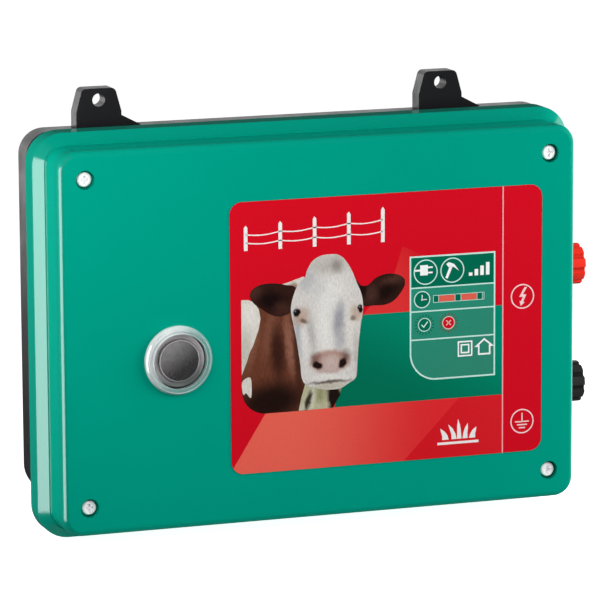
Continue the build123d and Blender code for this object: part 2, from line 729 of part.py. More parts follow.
COLLAR_OUT_X = BOX_HALF_W + STUD_COLLAR_T
CONTACT_OUT_X = COLLAR_OUT_X + WASHER_T
CLAMP_OUT_X = CONTACT_OUT_X + FACE_GAP + WASHER_T
KNOB_X = CLAMP_OUT_X + RUNNING
INSERT_X = KNOB_X + 0.3
INSERT_L = 7.0
STUD_END_X = INSERT_X + INSERT_L - 0.6
TONGUE_X = WALL_IN_X - NUT_T                # ring tongue between the two inner nuts
TONGUE_T = 0.8
STUD_START_X = TONGUE_X - TONGUE_T - NUT_T - 1.5
TONGUE_BARREL_R = 1.8
BARREL_FRONT_D = 27.5
BARREL_BACK_D = 33.5
BARREL_X = TONGUE_X - TONGUE_BARREL_R
LEAD_START_D = BARREL_BACK_D - 1.0


def ring(x, z, r_in, r_out, thickness):
    """A washer on a terminal's axis, from x outwards."""
    with BuildPart() as washer:
        with BuildSketch(sideways(x, STUD_D, z)):
            Circle(r_out)
            Circle(r_in, mode=Mode.SUBTRACT)
        extrude(amount=thickness)
    return washer


def terminal_stud(z):
    """Threaded stud with a collar that bears on the outside of the housing wall."""
    with BuildPart() as stud:
        with BuildSketch(sideways(STUD_START_X, STUD_D, z)):
            Circle(STUD_R)
        extrude(amount=STUD_END_X - STUD_START_X)
        chamfer(stud.faces().filter_by(Axis.X).edges(), length=0.7)
        with BuildSketch(sideways(BOX_HALF_W, STUD_D, z)):
            Circle(STUD_COLLAR_R)
        extrude(amount=STUD_COLLAR_T)
    return stud


def knob(z):
    """Fluted hand knob, hollow from its inner face for the threaded insert."""
    with BuildPart() as body:
        with BuildSketch(sideways(KNOB_X, STUD_D, z)):
            Circle(KNOB_R)
            with PolarLocations(KNOB_R + 0.15, KNOB_FLUTES, start_angle=KNOB_TURN):
                Circle(FLUTE_R, mode=Mode.SUBTRACT)
        extrude(amount=KNOB_L)
        chamfer(body.faces().sort_by(Axis.X)[-1].edges(), length=KNOB_EDGE)
        with BuildSketch(sideways(KNOB_X + KNOB_L, STUD_D, z)):
            Circle(KNOB_R - 3.2)
        extrude(amount=-0.6, mode=Mode.SUBTRACT)
        with BuildSketch(sideways(KNOB_X, STUD_D, z)):
            Circle(INSERT_R)
        extrude(amount=INSERT_X - KNOB_X + INSERT_L, mode=Mode.SUBTRACT)
    return body


for name, z in TERMINALS.items():
    finish(terminal_stud(z), f"{name}_stud")
    clamp_washer = ring(CONTACT_OUT_X + FACE_GAP, z, STUD_R + RUNNING, WASHER_R, WASHER_T)
    finish(clamp_washer, f"{name}_clamp_washer")
    finish(knob(z), f"{name}_knob")
    finish(ring(INSERT_X, z, STUD_R + RUNNING, INSERT_R, INSERT_L), f"{name}_knob_insert")

with BuildPart() as contact_washers:
    for z in TERMINALS.values():
        add(ring(COLLAR_OUT_X, z, STUD_R + RUNNING, WASHER_R, WASHER_T).part)
finish(contact_washers, "contact_washers")

with BuildPart() as stud_nuts:
    for z in TERMINALS.values():
        for x in (WALL_IN_X - NUT_T, TONGUE_X - TONGUE_T - NUT_T):
            with BuildSketch(sideways(x, STUD_D, z)):
                RegularPolygon(NUT_AF / 2, 6, major_radius=False)
                Circle(STUD_R + RUNNING, mode=Mode.SUBTRACT)
            extrude(amount=NUT_T)
finish(stud_nuts, "stud_nuts")

with BuildPart() as ring_tongues:
    for z in TERMINALS.values():
        with BuildSketch(sideways(TONGUE_X - TONGUE_T, STUD_D, z)):
            Circle(5.4)
            with Locations(((BARREL_BACK_D - STUD_D) / 2, 0)):
                Rectangle(STUD_D - BARREL_BACK_D + 1.0, 3.2)
            Circle(STUD_R + RUNNING, mode=Mode.SUBTRACT)
        extrude(amount=TONGUE_T)
        with BuildSketch(facing(BARREL_BACK_D, BARREL_X, z)):
            Circle(TONGUE_BARREL_R)
            Circle(1.25, mode=Mode.SUBTRACT)
        extrude(amount=BARREL_BACK_D - BARREL_FRONT_D)
finish(ring_tongues, "ring_tongues")

# ---------------------------------------------------------------- leads inside the case

LEAD_R = 1.2
LEAD_D = 16.5
COIL_RIGHT = CORE_X + CORE_LEG + SECONDARY_OUT
COIL_LEFT = CORE_X - CORE_LEG - SECONDARY_OUT

fence_lead = wire(
    [point(BARREL_X, LEAD_START_D, FENCE_Z), point(BARREL_X, LEAD_D, FENCE_Z),
     point(COIL_RIGHT, LEAD_D, CORE_Z + 6)],
    LEAD_R, 5.0,
)
finish(fence_lead, "fence_lead")

earth_lead = wire(
    [point(BARREL_X, LEAD_START_D, EARTH_Z), point(BARREL_X, LEAD_D, EARTH_Z),
     point(COIL_RIGHT + 9, LEAD_D, EARTH_Z + 24), point(COIL_RIGHT + 8, LEAD_D, CORE_Z - 8),
     point(COIL_RIGHT, LEAD_D, CORE_Z - 2)],
    LEAD_R, 3.5,
)
finish(earth_lead, "earth_lead")

with BuildPart() as primary_leads:
    for z in (CORE_Z - 5, CORE_Z + 5):
        route = [point(COIL_LEFT, LEAD_D, z), point(COIL_LEFT - 16, LEAD_D, z),
                 point(BOARD_X1 - 8, LEAD_D + 14, z), point(BOARD_X1 - 8, BOARD_FACE_D, z)]
        add(wire(route, LEAD_R, 5.0).part)
finish(primary_leads, "primary_leads")

lamp_cable = wire(
    [point(LAMP_X, LAMP_BOARD_D + 1.2, LAMP_Z), point(LAMP_X, 22, LAMP_Z),
     point(LAMP_X + 9, 30, LAMP_Z - 10), point(LAMP_X + 9, BOARD_FACE_D, LAMP_Z - 10)],
    1.4, 4.0,
)
finish(lamp_cable, "lamp_cable")

# ---------------------------------------------------------------- cable inlet

GROMMET_OUT = 4.0
GROMMET_FLANGE_T = 1.8

with BuildPart() as cable_grommet:
    outside_z = BOX_BOTTOM - GROMMET_OUT
    with BuildSketch(level(BOX_BOTTOM, INLET_X, INLET_D)):
        Circle(GROMMET_NECK_R)
    extrude(amount=BOX_WALL)
    with BuildSketch(level(BOX_BOTTOM - GROMMET_FLANGE_T, INLET_X, INLET_D)):
        Circle(GROMMET_FLANGE_R)
    extrude(amount=GROMMET_FLANGE_T)
    with BuildSketch(level(BOX_BOTTOM + BOX_WALL, INLET_X, INLET_D)):
        Circle(GROMMET_NECK_R + 0.1)
    extrude(amount=GROMMET_FLANGE_T)
    with BuildSketch(level(outside_z, INLET_X, INLET_D)):
        Circle(GROMMET_NECK_R)
    extrude(amount=GROMMET_OUT)
    fillet(cable_grommet.faces().sort_by(Axis.Z)[0].edges(), radius=1.0)
    with BuildSketch(level(outside_z, INLET_X, INLET_D)):
        Circle(INLET_BORE_R)
    extrude(amount=GROMMET_OUT + BOX_WALL + GROMMET_FLANGE_T, mode=Mode.SUBTRACT)
finish(cable_grommet, "cable_grommet")

with BuildPart() as cord_clamp:
    with BuildSketch(facing(CLAMP_SEAT_D, INLET_X, CLAMP_Z)):
        RectangleRounded(2 * CLAMP_HALF + 7, 7.5, 2.5)
        with Locations((-CLAMP_HALF, 0), (CLAMP_HALF, 0)):
            Circle(1.6, mode=Mode.SUBTRACT)
    extrude(amount=3.0)
    with BuildSketch(level(CLAMP_Z - 4, INLET_X, CLAMP_SEAT_D + 0.6)):
        Circle(INLET_BORE_R - 0.2)
    extrude(amount=8.0, mode=Mode.SUBTRACT)
finish(cord_clamp, "cord_clamp")

clamp_screws = headed_screws(CLAMP_HOLES, CLAMP_SEAT_D - 3.0, 2.5, 1.8, 1.25, 8.0)
finish(clamp_screws, "cord_clamp_screws")
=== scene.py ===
import math

import bmesh
import bpy
from mathutils import Matrix, Vector


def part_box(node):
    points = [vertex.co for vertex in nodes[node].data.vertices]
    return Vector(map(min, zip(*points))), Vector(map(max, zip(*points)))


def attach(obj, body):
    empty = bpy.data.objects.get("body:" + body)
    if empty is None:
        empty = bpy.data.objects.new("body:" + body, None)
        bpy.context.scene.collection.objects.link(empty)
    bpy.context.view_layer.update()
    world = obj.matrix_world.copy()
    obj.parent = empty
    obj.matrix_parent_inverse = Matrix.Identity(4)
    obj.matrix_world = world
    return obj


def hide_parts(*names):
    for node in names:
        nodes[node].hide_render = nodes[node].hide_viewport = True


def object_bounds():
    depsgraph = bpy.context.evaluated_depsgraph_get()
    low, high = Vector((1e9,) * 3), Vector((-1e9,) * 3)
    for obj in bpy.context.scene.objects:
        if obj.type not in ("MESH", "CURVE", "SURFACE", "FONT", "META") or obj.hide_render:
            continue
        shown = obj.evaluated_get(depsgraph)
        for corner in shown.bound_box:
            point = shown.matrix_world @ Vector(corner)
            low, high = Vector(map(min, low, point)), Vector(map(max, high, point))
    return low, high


# Looks of a wall-hung mains fence energizer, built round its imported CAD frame.
# Row frame: metres, +X right and +Z up for a person facing the front, and the front faces -Y.

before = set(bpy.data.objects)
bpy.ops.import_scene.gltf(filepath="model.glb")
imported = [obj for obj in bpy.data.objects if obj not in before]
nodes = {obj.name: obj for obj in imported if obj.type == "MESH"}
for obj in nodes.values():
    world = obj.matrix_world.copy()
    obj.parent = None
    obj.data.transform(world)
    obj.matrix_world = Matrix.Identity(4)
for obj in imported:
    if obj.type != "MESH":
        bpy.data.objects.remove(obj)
cad_low, cad_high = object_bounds()

MM = 0.001
cover_low, cover_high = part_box("front_cover")
label_low, label_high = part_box("front_label")
MID_X = (cover_low.x + cover_high.x) / 2
MID_Z = (cover_low.z + cover_high.z) / 2
FACE_Y = cover_low.y                       # the cover's front face
PRINT_Y = label_low.y                      # the label's front face
lens_low, lens_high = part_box("indicator_lens")
LAMP = Vector(((lens_low.x + lens_high.x) / 2, cover_low.y, (lens_low.z + lens_high.z) / 2))
CLEAR_R = 12.7                             # radius inside which the lens is clear, in millimetres


def on_face(x, z, rise=0.0):
    """A point on the cover's face, from millimetres right of and above its middle, and out of it."""
    return Vector((MID_X + x * MM, FACE_Y - rise * MM, MID_Z + z * MM))


# ------------------------------ node trees

class Look:
    """A material under construction: one Principled shader and the nodes that feed it."""

    def __init__(self, name, **constants):
        self.material = bpy.data.materials.new(name)
        self.material.use_nodes = True
        self.tree = self.material.node_tree
        self.tree.nodes.clear()
        self.shader = self.tree.nodes.new("ShaderNodeBsdfPrincipled")
        output = self.tree.nodes.new("ShaderNodeOutputMaterial")
        self.tree.links.new(self.shader.outputs[0], output.inputs["Surface"])
        for key, value in constants.items():
            self.shader.inputs[key.replace("_", " ")].default_value = value
        self.place = self.add("ShaderNodeTexCoord").outputs["Object"]

    def add(self, kind, inputs=None, **settings):
        node = self.tree.nodes.new(kind)
        for key, value in settings.items():
            setattr(node, key, value)
        for key, value in (inputs or {}).items():
            self.feed(node.inputs[key], value)
        return node

    def feed(self, socket, value):
        if isinstance(value, bpy.types.NodeSocket):
            self.tree.links.new(value, socket)
        else:
            socket.default_value = value

    def math(self, operation, a, b=0.0, c=0.0):
        return self.add("ShaderNodeMath", {0: a, 1: b, 2: c}, operation=operation).outputs[0]

    def ramp(self, value, low, high, to_low=0.0, to_high=1.0, smooth=False):
        kind = "SMOOTHSTEP" if smooth else "LINEAR"
        node = self.add("ShaderNodeMapRange", {0: value, 1: low, 2: high, 3: to_low, 4: to_high},
                        interpolation_type=kind)
        return node.outputs[0]

    def mix(self, share, a, b, blend="MIX"):
        node = self.add("ShaderNodeMix", {0: share, 6: a, 7: b}, data_type="RGBA", blend_type=blend)
        return node.outputs[2]

    def vector(self, operation, a, b=(0.0, 0.0, 0.0), output="Vector"):
        return self.add("ShaderNodeVectorMath", {0: a, 1: b}, operation=operation).outputs[output]

    def dot(self, a, b):
        return self.vector("DOT_PRODUCT", a, b, "Value")

    def length(self, a):
        return self.vector("LENGTH", a, output="Value")

    def stretched(self, scale, where=None):
        """Coordinates multiplied by one factor for each axis."""
        return self.vector("MULTIPLY", where or self.place, scale)

    def seen_from(self, point):
        """Coordinates counted from a point."""
        return self.vector("SUBTRACT", self.place, point)

    def grey(self, value):
        """A number as a colour."""
        return self.add("ShaderNodeCombineXYZ", {0: value, 1: value, 2: value}).outputs[0]

    def noise(self, scale, detail=3.0, where=None, rough=0.55):
        node = self.add("ShaderNodeTexNoise",
                        {"Vector": where or self.place, "Scale": scale, "Detail": detail, "Roughness": rough})
        return node.outputs["Fac"]

    def axis(self, letter, where=None):
        node = self.add("ShaderNodeSeparateXYZ", {0: where or self.place})
        return node.outputs[letter]

    def edges(self, radius):
        """How sharp the surface turns within a radius: 0 on a flat, up to about 1 on an edge."""
        rounded = self.add("ShaderNodeBevel", {"Radius": radius}, samples=6).outputs[0]
        plain = self.add("ShaderNodeNewGeometry").outputs["Normal"]
        return self.ramp(self.dot(rounded, plain), 0.98, 0.72)

    def bump(self, height, strength, distance, normal=None):
        inputs = {"Height": height, "Strength": strength, "Distance": distance}
        if normal is not None:
            inputs["Normal"] = normal
        return self.add("ShaderNodeBump", inputs).outputs[0]

    def set(self, key, value):
        self.feed(self.shader.inputs[key], value)


def shade(colour, factor):
    return (colour[0] * factor, colour[1] * factor, colour[2] * factor, 1.0)


def surface(name, colour, rough, vary=0.08, patch=45.0, grain=0.1, grain_scale=1800.0, depth=0.02,
            wear_and_highlight=0.0, wear_and_highlight_radius=0.5, round_edges=0.0, rough_vary=0.06, hollow_shade=None, **constants):
    """A moulded, rolled or printed finish: colour in soft patches, uneven gloss, a fine grain and worn edges,
    lightened partly as a painted highlight.

    Hollow shade is (node, inner radius, outer radius, how dark): painted shade near a turned node's axis, in
    the hollows of its grip.
    """
    look = Look(name, **constants)
    patches = look.noise(patch, 4.0)
    tone = look.mix(look.ramp(patches, 0.3, 0.7), shade(colour, 1.0 - vary), shade(colour, 1.0 + vary))
    gloss = look.ramp(look.noise(patch * 3.1, 3.0), 0.3, 0.7, rough - rough_vary, rough + rough_vary)
    if wear_and_highlight:
        # paler edges where the noise allows: partly wear, partly a painted highlight along the edges
        worn_and_highlit = look.math("MULTIPLY", look.edges(wear_and_highlight_radius * MM), look.ramp(look.noise(260.0), 0.35, 0.6))
        pale = [min(1.0, c * 1.5 + 0.05) for c in colour] + [1.0]
        tone = look.mix(look.math("MULTIPLY", worn_and_highlit, wear_and_highlight), tone, pale)
        gloss = look.math("ADD", gloss, look.math("MULTIPLY", worn_and_highlit, 0.12))
    # painted shade: darker near the axis on the grip's sides, not on its end faces
    if hollow_shade:
        node, inner, outer, dark = hollow_shade
        low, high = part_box(node)
        radius = look.length(look.stretched((0.0, 1.0, 1.0), look.seen_from((low + high) / 2)))
        end = look.math("ABSOLUTE", look.axis("X", look.add("ShaderNodeNewGeometry").outputs["Normal"]))
        in_hollow_shade = look.ramp(radius, outer * MM, inner * MM, smooth=True)
        tone = look.mix(look.math("MULTIPLY", in_hollow_shade, look.ramp(end, 0.6, 0.3)), tone, shade(colour, dark))
    look.set("Base Color", tone)
    look.set("Roughness", gloss)
    normal = None
    if round_edges:
        normal = look.add("ShaderNodeBevel", {"Radius": round_edges * MM}, samples=6).outputs[0]
    look.set("Normal", look.bump(look.noise(grain_scale, 2.0), grain, depth * MM, normal))
    return look.material


def striped(name, colours, rough, pitch, axis_letter, **constants):
    """Fine ridges of two tones across one axis, for windings, laminations and threads."""
    look = Look(name, **constants)
    along = look.axis(axis_letter)
    wave = look.math("SINE", look.math("MULTIPLY", along, 2 * math.pi / (pitch * MM)))
    jitter = look.noise(300.0, 3.0)
    share = look.ramp(look.math("ADD", wave, look.math("MULTIPLY", jitter, 0.8)), -0.8, 1.4)
    look.set("Base Color", look.mix(share, shade(colours[0], 1.0), shade(colours[1], 1.0)))
    look.set("Roughness", look.ramp(jitter, 0.3, 0.7, rough - 0.08, rough + 0.08))
    look.set("Normal", look.bump(wave, 0.5, pitch * 0.2 * MM))
    return look.material


def painted(name, base, spots, rough=0.34, fur=0.0, wander=0.6, wander_scale=350.0):
    """A printed picture: soft ellipses of colour laid over a base, in the order given.

    A spot is (colour, x, z, half width, half height, turn in degrees, softness, strength), in millimetres
    from the middle of the cover. Fur adds fine upright strokes.
    """
    look = Look(name, Specular_IOR_Level=0.12)
    drift = look.add("ShaderNodeTexNoise", {"Vector": look.place, "Scale": wander_scale, "Detail": 3.0})
    centred = look.vector("SUBTRACT", drift.outputs["Color"], (0.5, 0.5, 0.5))
    shifted = look.add("ShaderNodeVectorMath",
                       {0: centred, 1: (wander * 4 * MM,) * 3, 2: look.place},
                       operation="MULTIPLY_ADD").outputs[0]
    tone = (*base, 1.0)
    for colour, x, z, half_w, half_h, turn, soft, strength in spots:
        local = look.add("ShaderNodeMapping", {
            "Vector": shifted,
            "Location": on_face(x, z),
            "Rotation": (0.0, -math.radians(turn), 0.0),
            "Scale": (half_w * MM, 1.0, half_h * MM),
        }, vector_type="TEXTURE").outputs[0]
        share = look.ramp(look.length(local), 1.0 + soft, 1.0 - soft, 0.0, strength, smooth=True)
        tone = look.mix(share, tone, (*colour, 1.0))
    if fur:
        strokes = look.noise(1.0, 4.0, look.stretched((1900.0, 1.0, 420.0), shifted), 0.7)
        strokes_dark = look.ramp(strokes, 0.3, 0.7, 1.0 - fur, 1.0 + fur * 0.4)
        tone = look.mix(1.0, tone, look.grey(strokes_dark), "MULTIPLY")
    look.set("Base Color", tone)
    look.set("Roughness", look.ramp(look.noise(420.0), 0.3, 0.7, rough - 0.04, rough + 0.04))
    look.set("Normal", look.bump(look.noise(2400.0, 2.0), 0.04, 0.01 * MM))
    return look.material


def ink(name, colour, other=None, start=(0.0, 0.0), end=(0.0, 1.0), rough=0.34):
    """A printed colour, or a blend of two from one point of the face to another."""
    look = Look(name, Specular_IOR_Level=0.12)
    tone = shade(colour, 1.0)
    if other is not None:
        run = Vector((end[0] - start[0], 0.0, end[1] - start[1])) * MM
        along = look.dot(look.seen_from(on_face(*start)), run / run.length_squared)
        tone = look.mix(look.ramp(along, 0.0, 1.0, smooth=True), tone, shade(other, 1.0))
    speckle = look.ramp(look.noise(900.0, 2.0), 0.3, 0.7, 0.97, 1.03)
    look.set("Base Color", look.mix(1.0, tone, look.grey(speckle), "MULTIPLY"))
    look.set("Roughness", look.ramp(look.noise(420.0), 0.3, 0.7, rough - 0.04, rough + 0.04))
    look.set("Normal", look.bump(look.noise(2400.0, 2.0), 0.04, 0.01 * MM))
    return look.material


# ------------------------------ finishes of the CAD nodes

GREEN = (0.0, 0.335, 0.235)
LABEL_RED = (0.69, 0.004, 0.016)


def cover_green():
    """Moulded green: polished walls and edges round a flat front with a finer, duller finish."""
    look = Look("cover_green", Coat_Roughness=0.15, Coat_IOR=1.6, Specular_IOR_Level=0.0)
    flat = look.math("ABSOLUTE", look.axis("Y", look.add("ShaderNodeNewGeometry").outputs["Normal"]))
    look.set("Coat Weight", look.ramp(flat, 0.985, 0.999, 1.0, 0.06))
    patches = look.noise(9.0, 3.0)
    tone = look.mix(look.ramp(patches, 0.3, 0.7), shade(GREEN, 0.97), shade(GREEN, 1.03))
    dust = look.ramp(look.noise(520.0, 5.0), 0.62, 0.8, 0.0, 0.05)
    look.set("Base Color", look.mix(dust, tone, (0.04, 0.5, 0.4, 1.0)))
    look.set("Roughness", look.ramp(look.noise(60.0, 4.0), 0.3, 0.7, 0.28, 0.36))
    look.set("Normal", look.bump(look.noise(150.0, 2.0), 0.035, 0.05 * MM))
    return look.material


LENS_PAINTED_LIGHT_SIDE = (-0.88, 0.0, 0.47)      # towards the upper left, where painted light makes the flange paler
DISC_PAINTED_LIGHT_SIDE = (-0.57, 0.0, 0.82)
CUP_PAINTED_SHADE_SIDE = (0.26, 0.0, -0.97)
LENS_PAINTED_GLINT_RINGS = ((13.4, 0.28), (15.25, 0.16))     # painted highlight rings on the flange: radius and half width, in millimetres
# the flange's tones, painted lit and painted shaded
FLANGE_PAINTED_LIT, FLANGE_PAINTED_SHADED = (0.93, 0.98, 0.98, 1.0), (0.36, 0.74, 0.69, 1.0)
LEAST_ALPHA = 0.015                        # how little of the clear part is seen


def lens_plastic():
    """Clear over the lamp, and milky in the flange, with painted light: paler and more opaque towards the
    upper left, with two painted highlight rings.
    """
    look = Look("clear_lens", Coat_Weight=1.0, Coat_Roughness=0.04, Specular_IOR_Level=0.8)
    flat = look.stretched((1.0, 0.0, 1.0), look.seen_from(LAMP))
    radius = look.length(flat)
    side = look.dot(look.vector("NORMALIZE", flat), LENS_PAINTED_LIGHT_SIDE)
    # painted light: the flange paler and more opaque towards the upper left
    lit = look.ramp(side, -0.5, 0.8, smooth=True)
    flange = look.ramp(radius, CLEAR_R * MM, (CLEAR_R + 0.4) * MM, smooth=True)
    ahead = look.ramp(look.axis("Y"), FACE_Y + 0.6 * MM, FACE_Y + 0.1 * MM)
    cloud = look.ramp(look.noise(300.0, 3.0), 0.3, 0.7, 0.92, 1.0)
    # painted highlight: two pale rings round the flange, whiter and more opaque
    painted_glint = 0.0
    for at, half in LENS_PAINTED_GLINT_RINGS:
        off = look.math("ABSOLUTE", look.math("SUBTRACT", radius, at * MM))
        painted_glint = look.math("MAXIMUM", painted_glint, look.ramp(off, (half + 0.12) * MM, half * MM))
    milky_and_painted_light = look.math("MAXIMUM", look.ramp(lit, 0.0, 1.0, 0.50, 0.97), look.math("MULTIPLY", painted_glint, 0.85))
    for share in (flange, ahead, cloud):
        milky_and_painted_light = look.math("MULTIPLY", milky_and_painted_light, share)
    look.set("Alpha", look.math("MAXIMUM", milky_and_painted_light, LEAST_ALPHA))
    tone = look.mix(lit, FLANGE_PAINTED_SHADED, FLANGE_PAINTED_LIT)
    tone = look.mix(look.math("MULTIPLY", painted_glint, 0.8), tone, FLANGE_PAINTED_LIT)
    look.set("Base Color", look.mix(flange, (0.9, 0.9, 0.9, 1.0), tone))
    look.set("Roughness", look.ramp(look.noise(300.0, 3.0), 0.3, 0.7, 0.10, 0.14))
    look.set("Normal", look.bump(look.noise(260.0, 2.0), 0.03, 0.03 * MM))
    return look.material


def clear_plastic(name, tint, rough):
    look = Look(name, Transmission_Weight=1.0, IOR=1.46)
    cloud = look.ramp(look.noise(140.0, 3.0), 0.3, 0.7)
    look.set("Base Color", look.mix(cloud, shade(tint, 0.97), shade(tint, 1.0)))
    look.set("Roughness", look.ramp(look.noise(300.0, 3.0), 0.3, 0.7, rough, rough + 0.03))
    look.set("Normal", look.bump(look.noise(260.0, 2.0), 0.03, 0.03 * MM))
    return look.material


def smoked():
    """The dark disc in the lamp, with painted light: paler towards its upper left."""
    look = Look("smoked_disc", Coat_Weight=0.6, Coat_Roughness=0.08)
    low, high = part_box("lamp_disc")
    # painted light: paler towards the upper left
    slant = look.dot(look.seen_from((low + high) / 2), DISC_PAINTED_LIGHT_SIDE)
    pale = look.ramp(slant, -6.0 * MM, 11.5 * MM, smooth=True)
    dots = look.ramp(look.noise(800.0, 2.0), 0.4, 0.65)
    tone = look.mix(pale, (0.014, 0.012, 0.014, 1.0), (0.26, 0.255, 0.26, 1.0))
    look.set("Base Color", look.mix(look.math("MULTIPLY", dots, 0.06), tone, (0.2, 0.2, 0.2, 1.0)))
    look.set("Roughness", look.ramp(look.noise(300.0), 0.3, 0.7, 0.22, 0.3))
    look.set("Normal", look.bump(look.noise(1500.0, 2.0), 0.05, 0.02 * MM))
    return look.material


def shaded_grey():
    """The cup behind the lens: a satin grey, with painted shade darkening it towards its lower right."""
    look = Look("lamp_grey")
    # painted shade: darker towards the lower right
    painted_shade = look.ramp(look.dot(look.seen_from(LAMP), CUP_PAINTED_SHADE_SIDE), 1.0 * MM, 11.0 * MM, smooth=True)
    grain = look.noise(1400.0, 2.0)
    bright = look.mix(look.ramp(grain, 0.3, 0.7), (0.47, 0.44, 0.455, 1.0), (0.52, 0.49, 0.505, 1.0))
    look.set("Base Color", look.mix(painted_shade, bright, (0.15, 0.165, 0.16, 1.0)))
    look.set("Roughness", look.ramp(look.noise(140.0), 0.3, 0.7, 0.30, 0.40))
    look.set("Normal", look.bump(grain, 0.08, 0.02 * MM))
    return look.material


def laminate():
    """Solder mask with paler tracks where the copper runs under it."""
    look = Look("board_laminate", Coat_Weight=0.3)
    grid = look.add("ShaderNodeTexBrick", {
        "Vector": look.stretched((1.0, 1.0, 1.0), look.add("ShaderNodeMapping", {
            "Vector": look.place, "Rotation": (math.radians(90), 0.0, 0.0)}).outputs[0]),
        "Scale": 70.0, "Mortar Size": 0.06, "Color1": (0.02, 0.15, 0.05, 1), "Color2": (0.03, 0.19, 0.07, 1),
        "Mortar": (0.06, 0.30, 0.12, 1)})
    look.set("Base Color", grid.outputs["Color"])
    look.set("Roughness", look.ramp(look.noise(400.0), 0.3, 0.7, 0.28, 0.42))
    look.set("Normal", look.bump(grid.outputs["Fac"], 0.3, 0.04 * MM))
    return look.material


GRIP_SHADE_RADII = (8.9, 9.9)                   # radii between which painted shade darkens a knob's grip, in millimetres
FINISHES = {
    "black_housing": surface("black_housing", (0.014, 0.013, 0.015), 0.42, vary=0.12, patch=22.0, grain=0.16,
                             grain_scale=1500.0, depth=0.05, wear_and_highlight=0.22, wear_and_highlight_radius=0.5, round_edges=0.4),
    "green_cover": cover_green(),
    "gasket_rubber": surface("gasket_rubber", (0.028, 0.028, 0.028), 0.75, grain=0.2, grain_scale=1200.0),
    "screw_steel": surface("screw_steel", (0.97, 0.97, 0.98), 0.32, vary=0.03, patch=400.0, grain=0.12,
                           grain_scale=2600.0, wear_and_highlight=0.2),
    "label_foil": ink("label_red", LABEL_RED, (0.66, 0.004, 0.016), (-20, 62), (40, -66)),
    "clear_lens": lens_plastic(),
    "lamp_grey": shaded_grey(),
    "smoked_disc": smoked(),
    "board_laminate": laminate(),
    "green_led": surface("green_led", (0.08, 0.55, 0.14), 0.25, vary=0.04, Subsurface_Weight=0.2),
    "red_led": surface("red_led", (0.70, 0.05, 0.04), 0.25, vary=0.04, Subsurface_Weight=0.2),
    "capacitor_sleeve": surface("capacitor_sleeve", (0.025, 0.04, 0.11), 0.28, grain=0.06, grain_scale=300.0),
    "capacitor_yellow": surface("capacitor_yellow", (0.72, 0.46, 0.04), 0.42, grain=0.15),
    "varistor_blue": surface("varistor_blue", (0.03, 0.12, 0.40), 0.3, grain=0.2, grain_scale=500.0),
    "fuse_glass": clear_plastic("fuse_glass", (0.92, 0.95, 0.95), 0.02),
    "tinned_brass": surface("tinned_brass", (0.74, 0.72, 0.68), 0.3, grain=0.1, Metallic=0.95),
    "chip_black": surface("chip_black", (0.025, 0.025, 0.027), 0.55, grain=0.3, grain_scale=2400.0),
    "ceramic_white": surface("ceramic_white", (0.78, 0.76, 0.71), 0.75, grain=0.4, grain_scale=900.0,
                             depth=0.06),
    "sink_aluminium": striped("sink_aluminium", ((0.62, 0.62, 0.64), (0.75, 0.75, 0.77)), 0.34, 0.5, "X",
                              Metallic=0.95),
    "terminal_block": surface("terminal_block", (0.04, 0.27, 0.10), 0.45, grain=0.12, wear_and_highlight=0.2),
    "core_steel": striped("core_steel", ((0.16, 0.16, 0.17), (0.36, 0.36, 0.37)), 0.42, 0.7, "Y",
                          Metallic=0.8),
    "bobbin_plastic": surface("bobbin_plastic", (0.70, 0.67, 0.58), 0.48, grain=0.1),
    "copper_wire": striped("copper_wire", ((0.42, 0.16, 0.05), (0.80, 0.40, 0.19)), 0.3, 0.6, "Z",
                           Metallic=0.85),
    "winding_tape": surface("winding_tape", (0.75, 0.58, 0.17), 0.3, grain=0.15, grain_scale=260.0),
    "bracket_steel": surface("bracket_steel", (0.60, 0.60, 0.59), 0.36, patch=120.0, grain=0.1, Metallic=0.9),
    "stud_steel": surface("stud_steel", (0.62, 0.61, 0.60), 0.28, patch=200.0, grain=0.1, Metallic=0.95),
    "red_knob": surface("red_knob", (0.93, 0.032, 0.018), 0.40, vary=0.05, grain=0.1, grain_scale=900.0,
                        wear_and_highlight=0.12, round_edges=0.2, hollow_shade=("fence_knob", *GRIP_SHADE_RADII, 0.72),
                        Specular_IOR_Level=0.3),
    "black_knob": surface("black_knob", (0.026, 0.026, 0.027), 0.40, vary=0.08, grain=0.12, grain_scale=900.0,
                          wear_and_highlight=0.2, round_edges=0.2, hollow_shade=("earth_knob", *GRIP_SHADE_RADII, 0.5)),
    "insert_brass": surface("insert_brass", (0.72, 0.50, 0.18), 0.3, patch=150.0, Metallic=0.95),
    "red_lead": surface("red_lead", (0.60, 0.03, 0.02), 0.4, grain=0.05),
    "black_lead": surface("black_lead", (0.03, 0.03, 0.03), 0.42, grain=0.05),
    "grey_cable": surface("grey_cable", (0.36, 0.36, 0.37), 0.5, grain=0.06),
}
SEAL_CLEAR = surface("lens_seal_silicone", (0.05, 0.42, 0.34), 0.5, vary=0.05, grain=0.08)

for name, node in nodes.items():
    slot = node.material_slots[0].material.name.split(".")[0]
    node.material_slots[0].material = FINISHES[slot]
nodes["lens_seal"].material_slots[0].material = SEAL_CLEAR


# ------------------------------ meshes

def keep(name, bm, material, body, smooth=False):
    """Turn a bmesh into a piece that rides on a body and takes its finish from a slot."""
    bmesh.ops.recalc_face_normals(bm, faces=bm.faces)
    mesh = bpy.data.meshes.new(name)
    bm.to_mesh(mesh)
    bm.free()
    mesh.materials.append(material)
    if smooth:
        mesh.shade_smooth()
    piece = bpy.data.objects.new(name, mesh)
    bpy.context.scene.collection.objects.link(piece)
    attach(piece, body)
    return piece


def area(points):
    return sum(a[0] * b[1] - b[0] * a[1] for a, b in zip(points, points[1:] + points[:1])) / 2


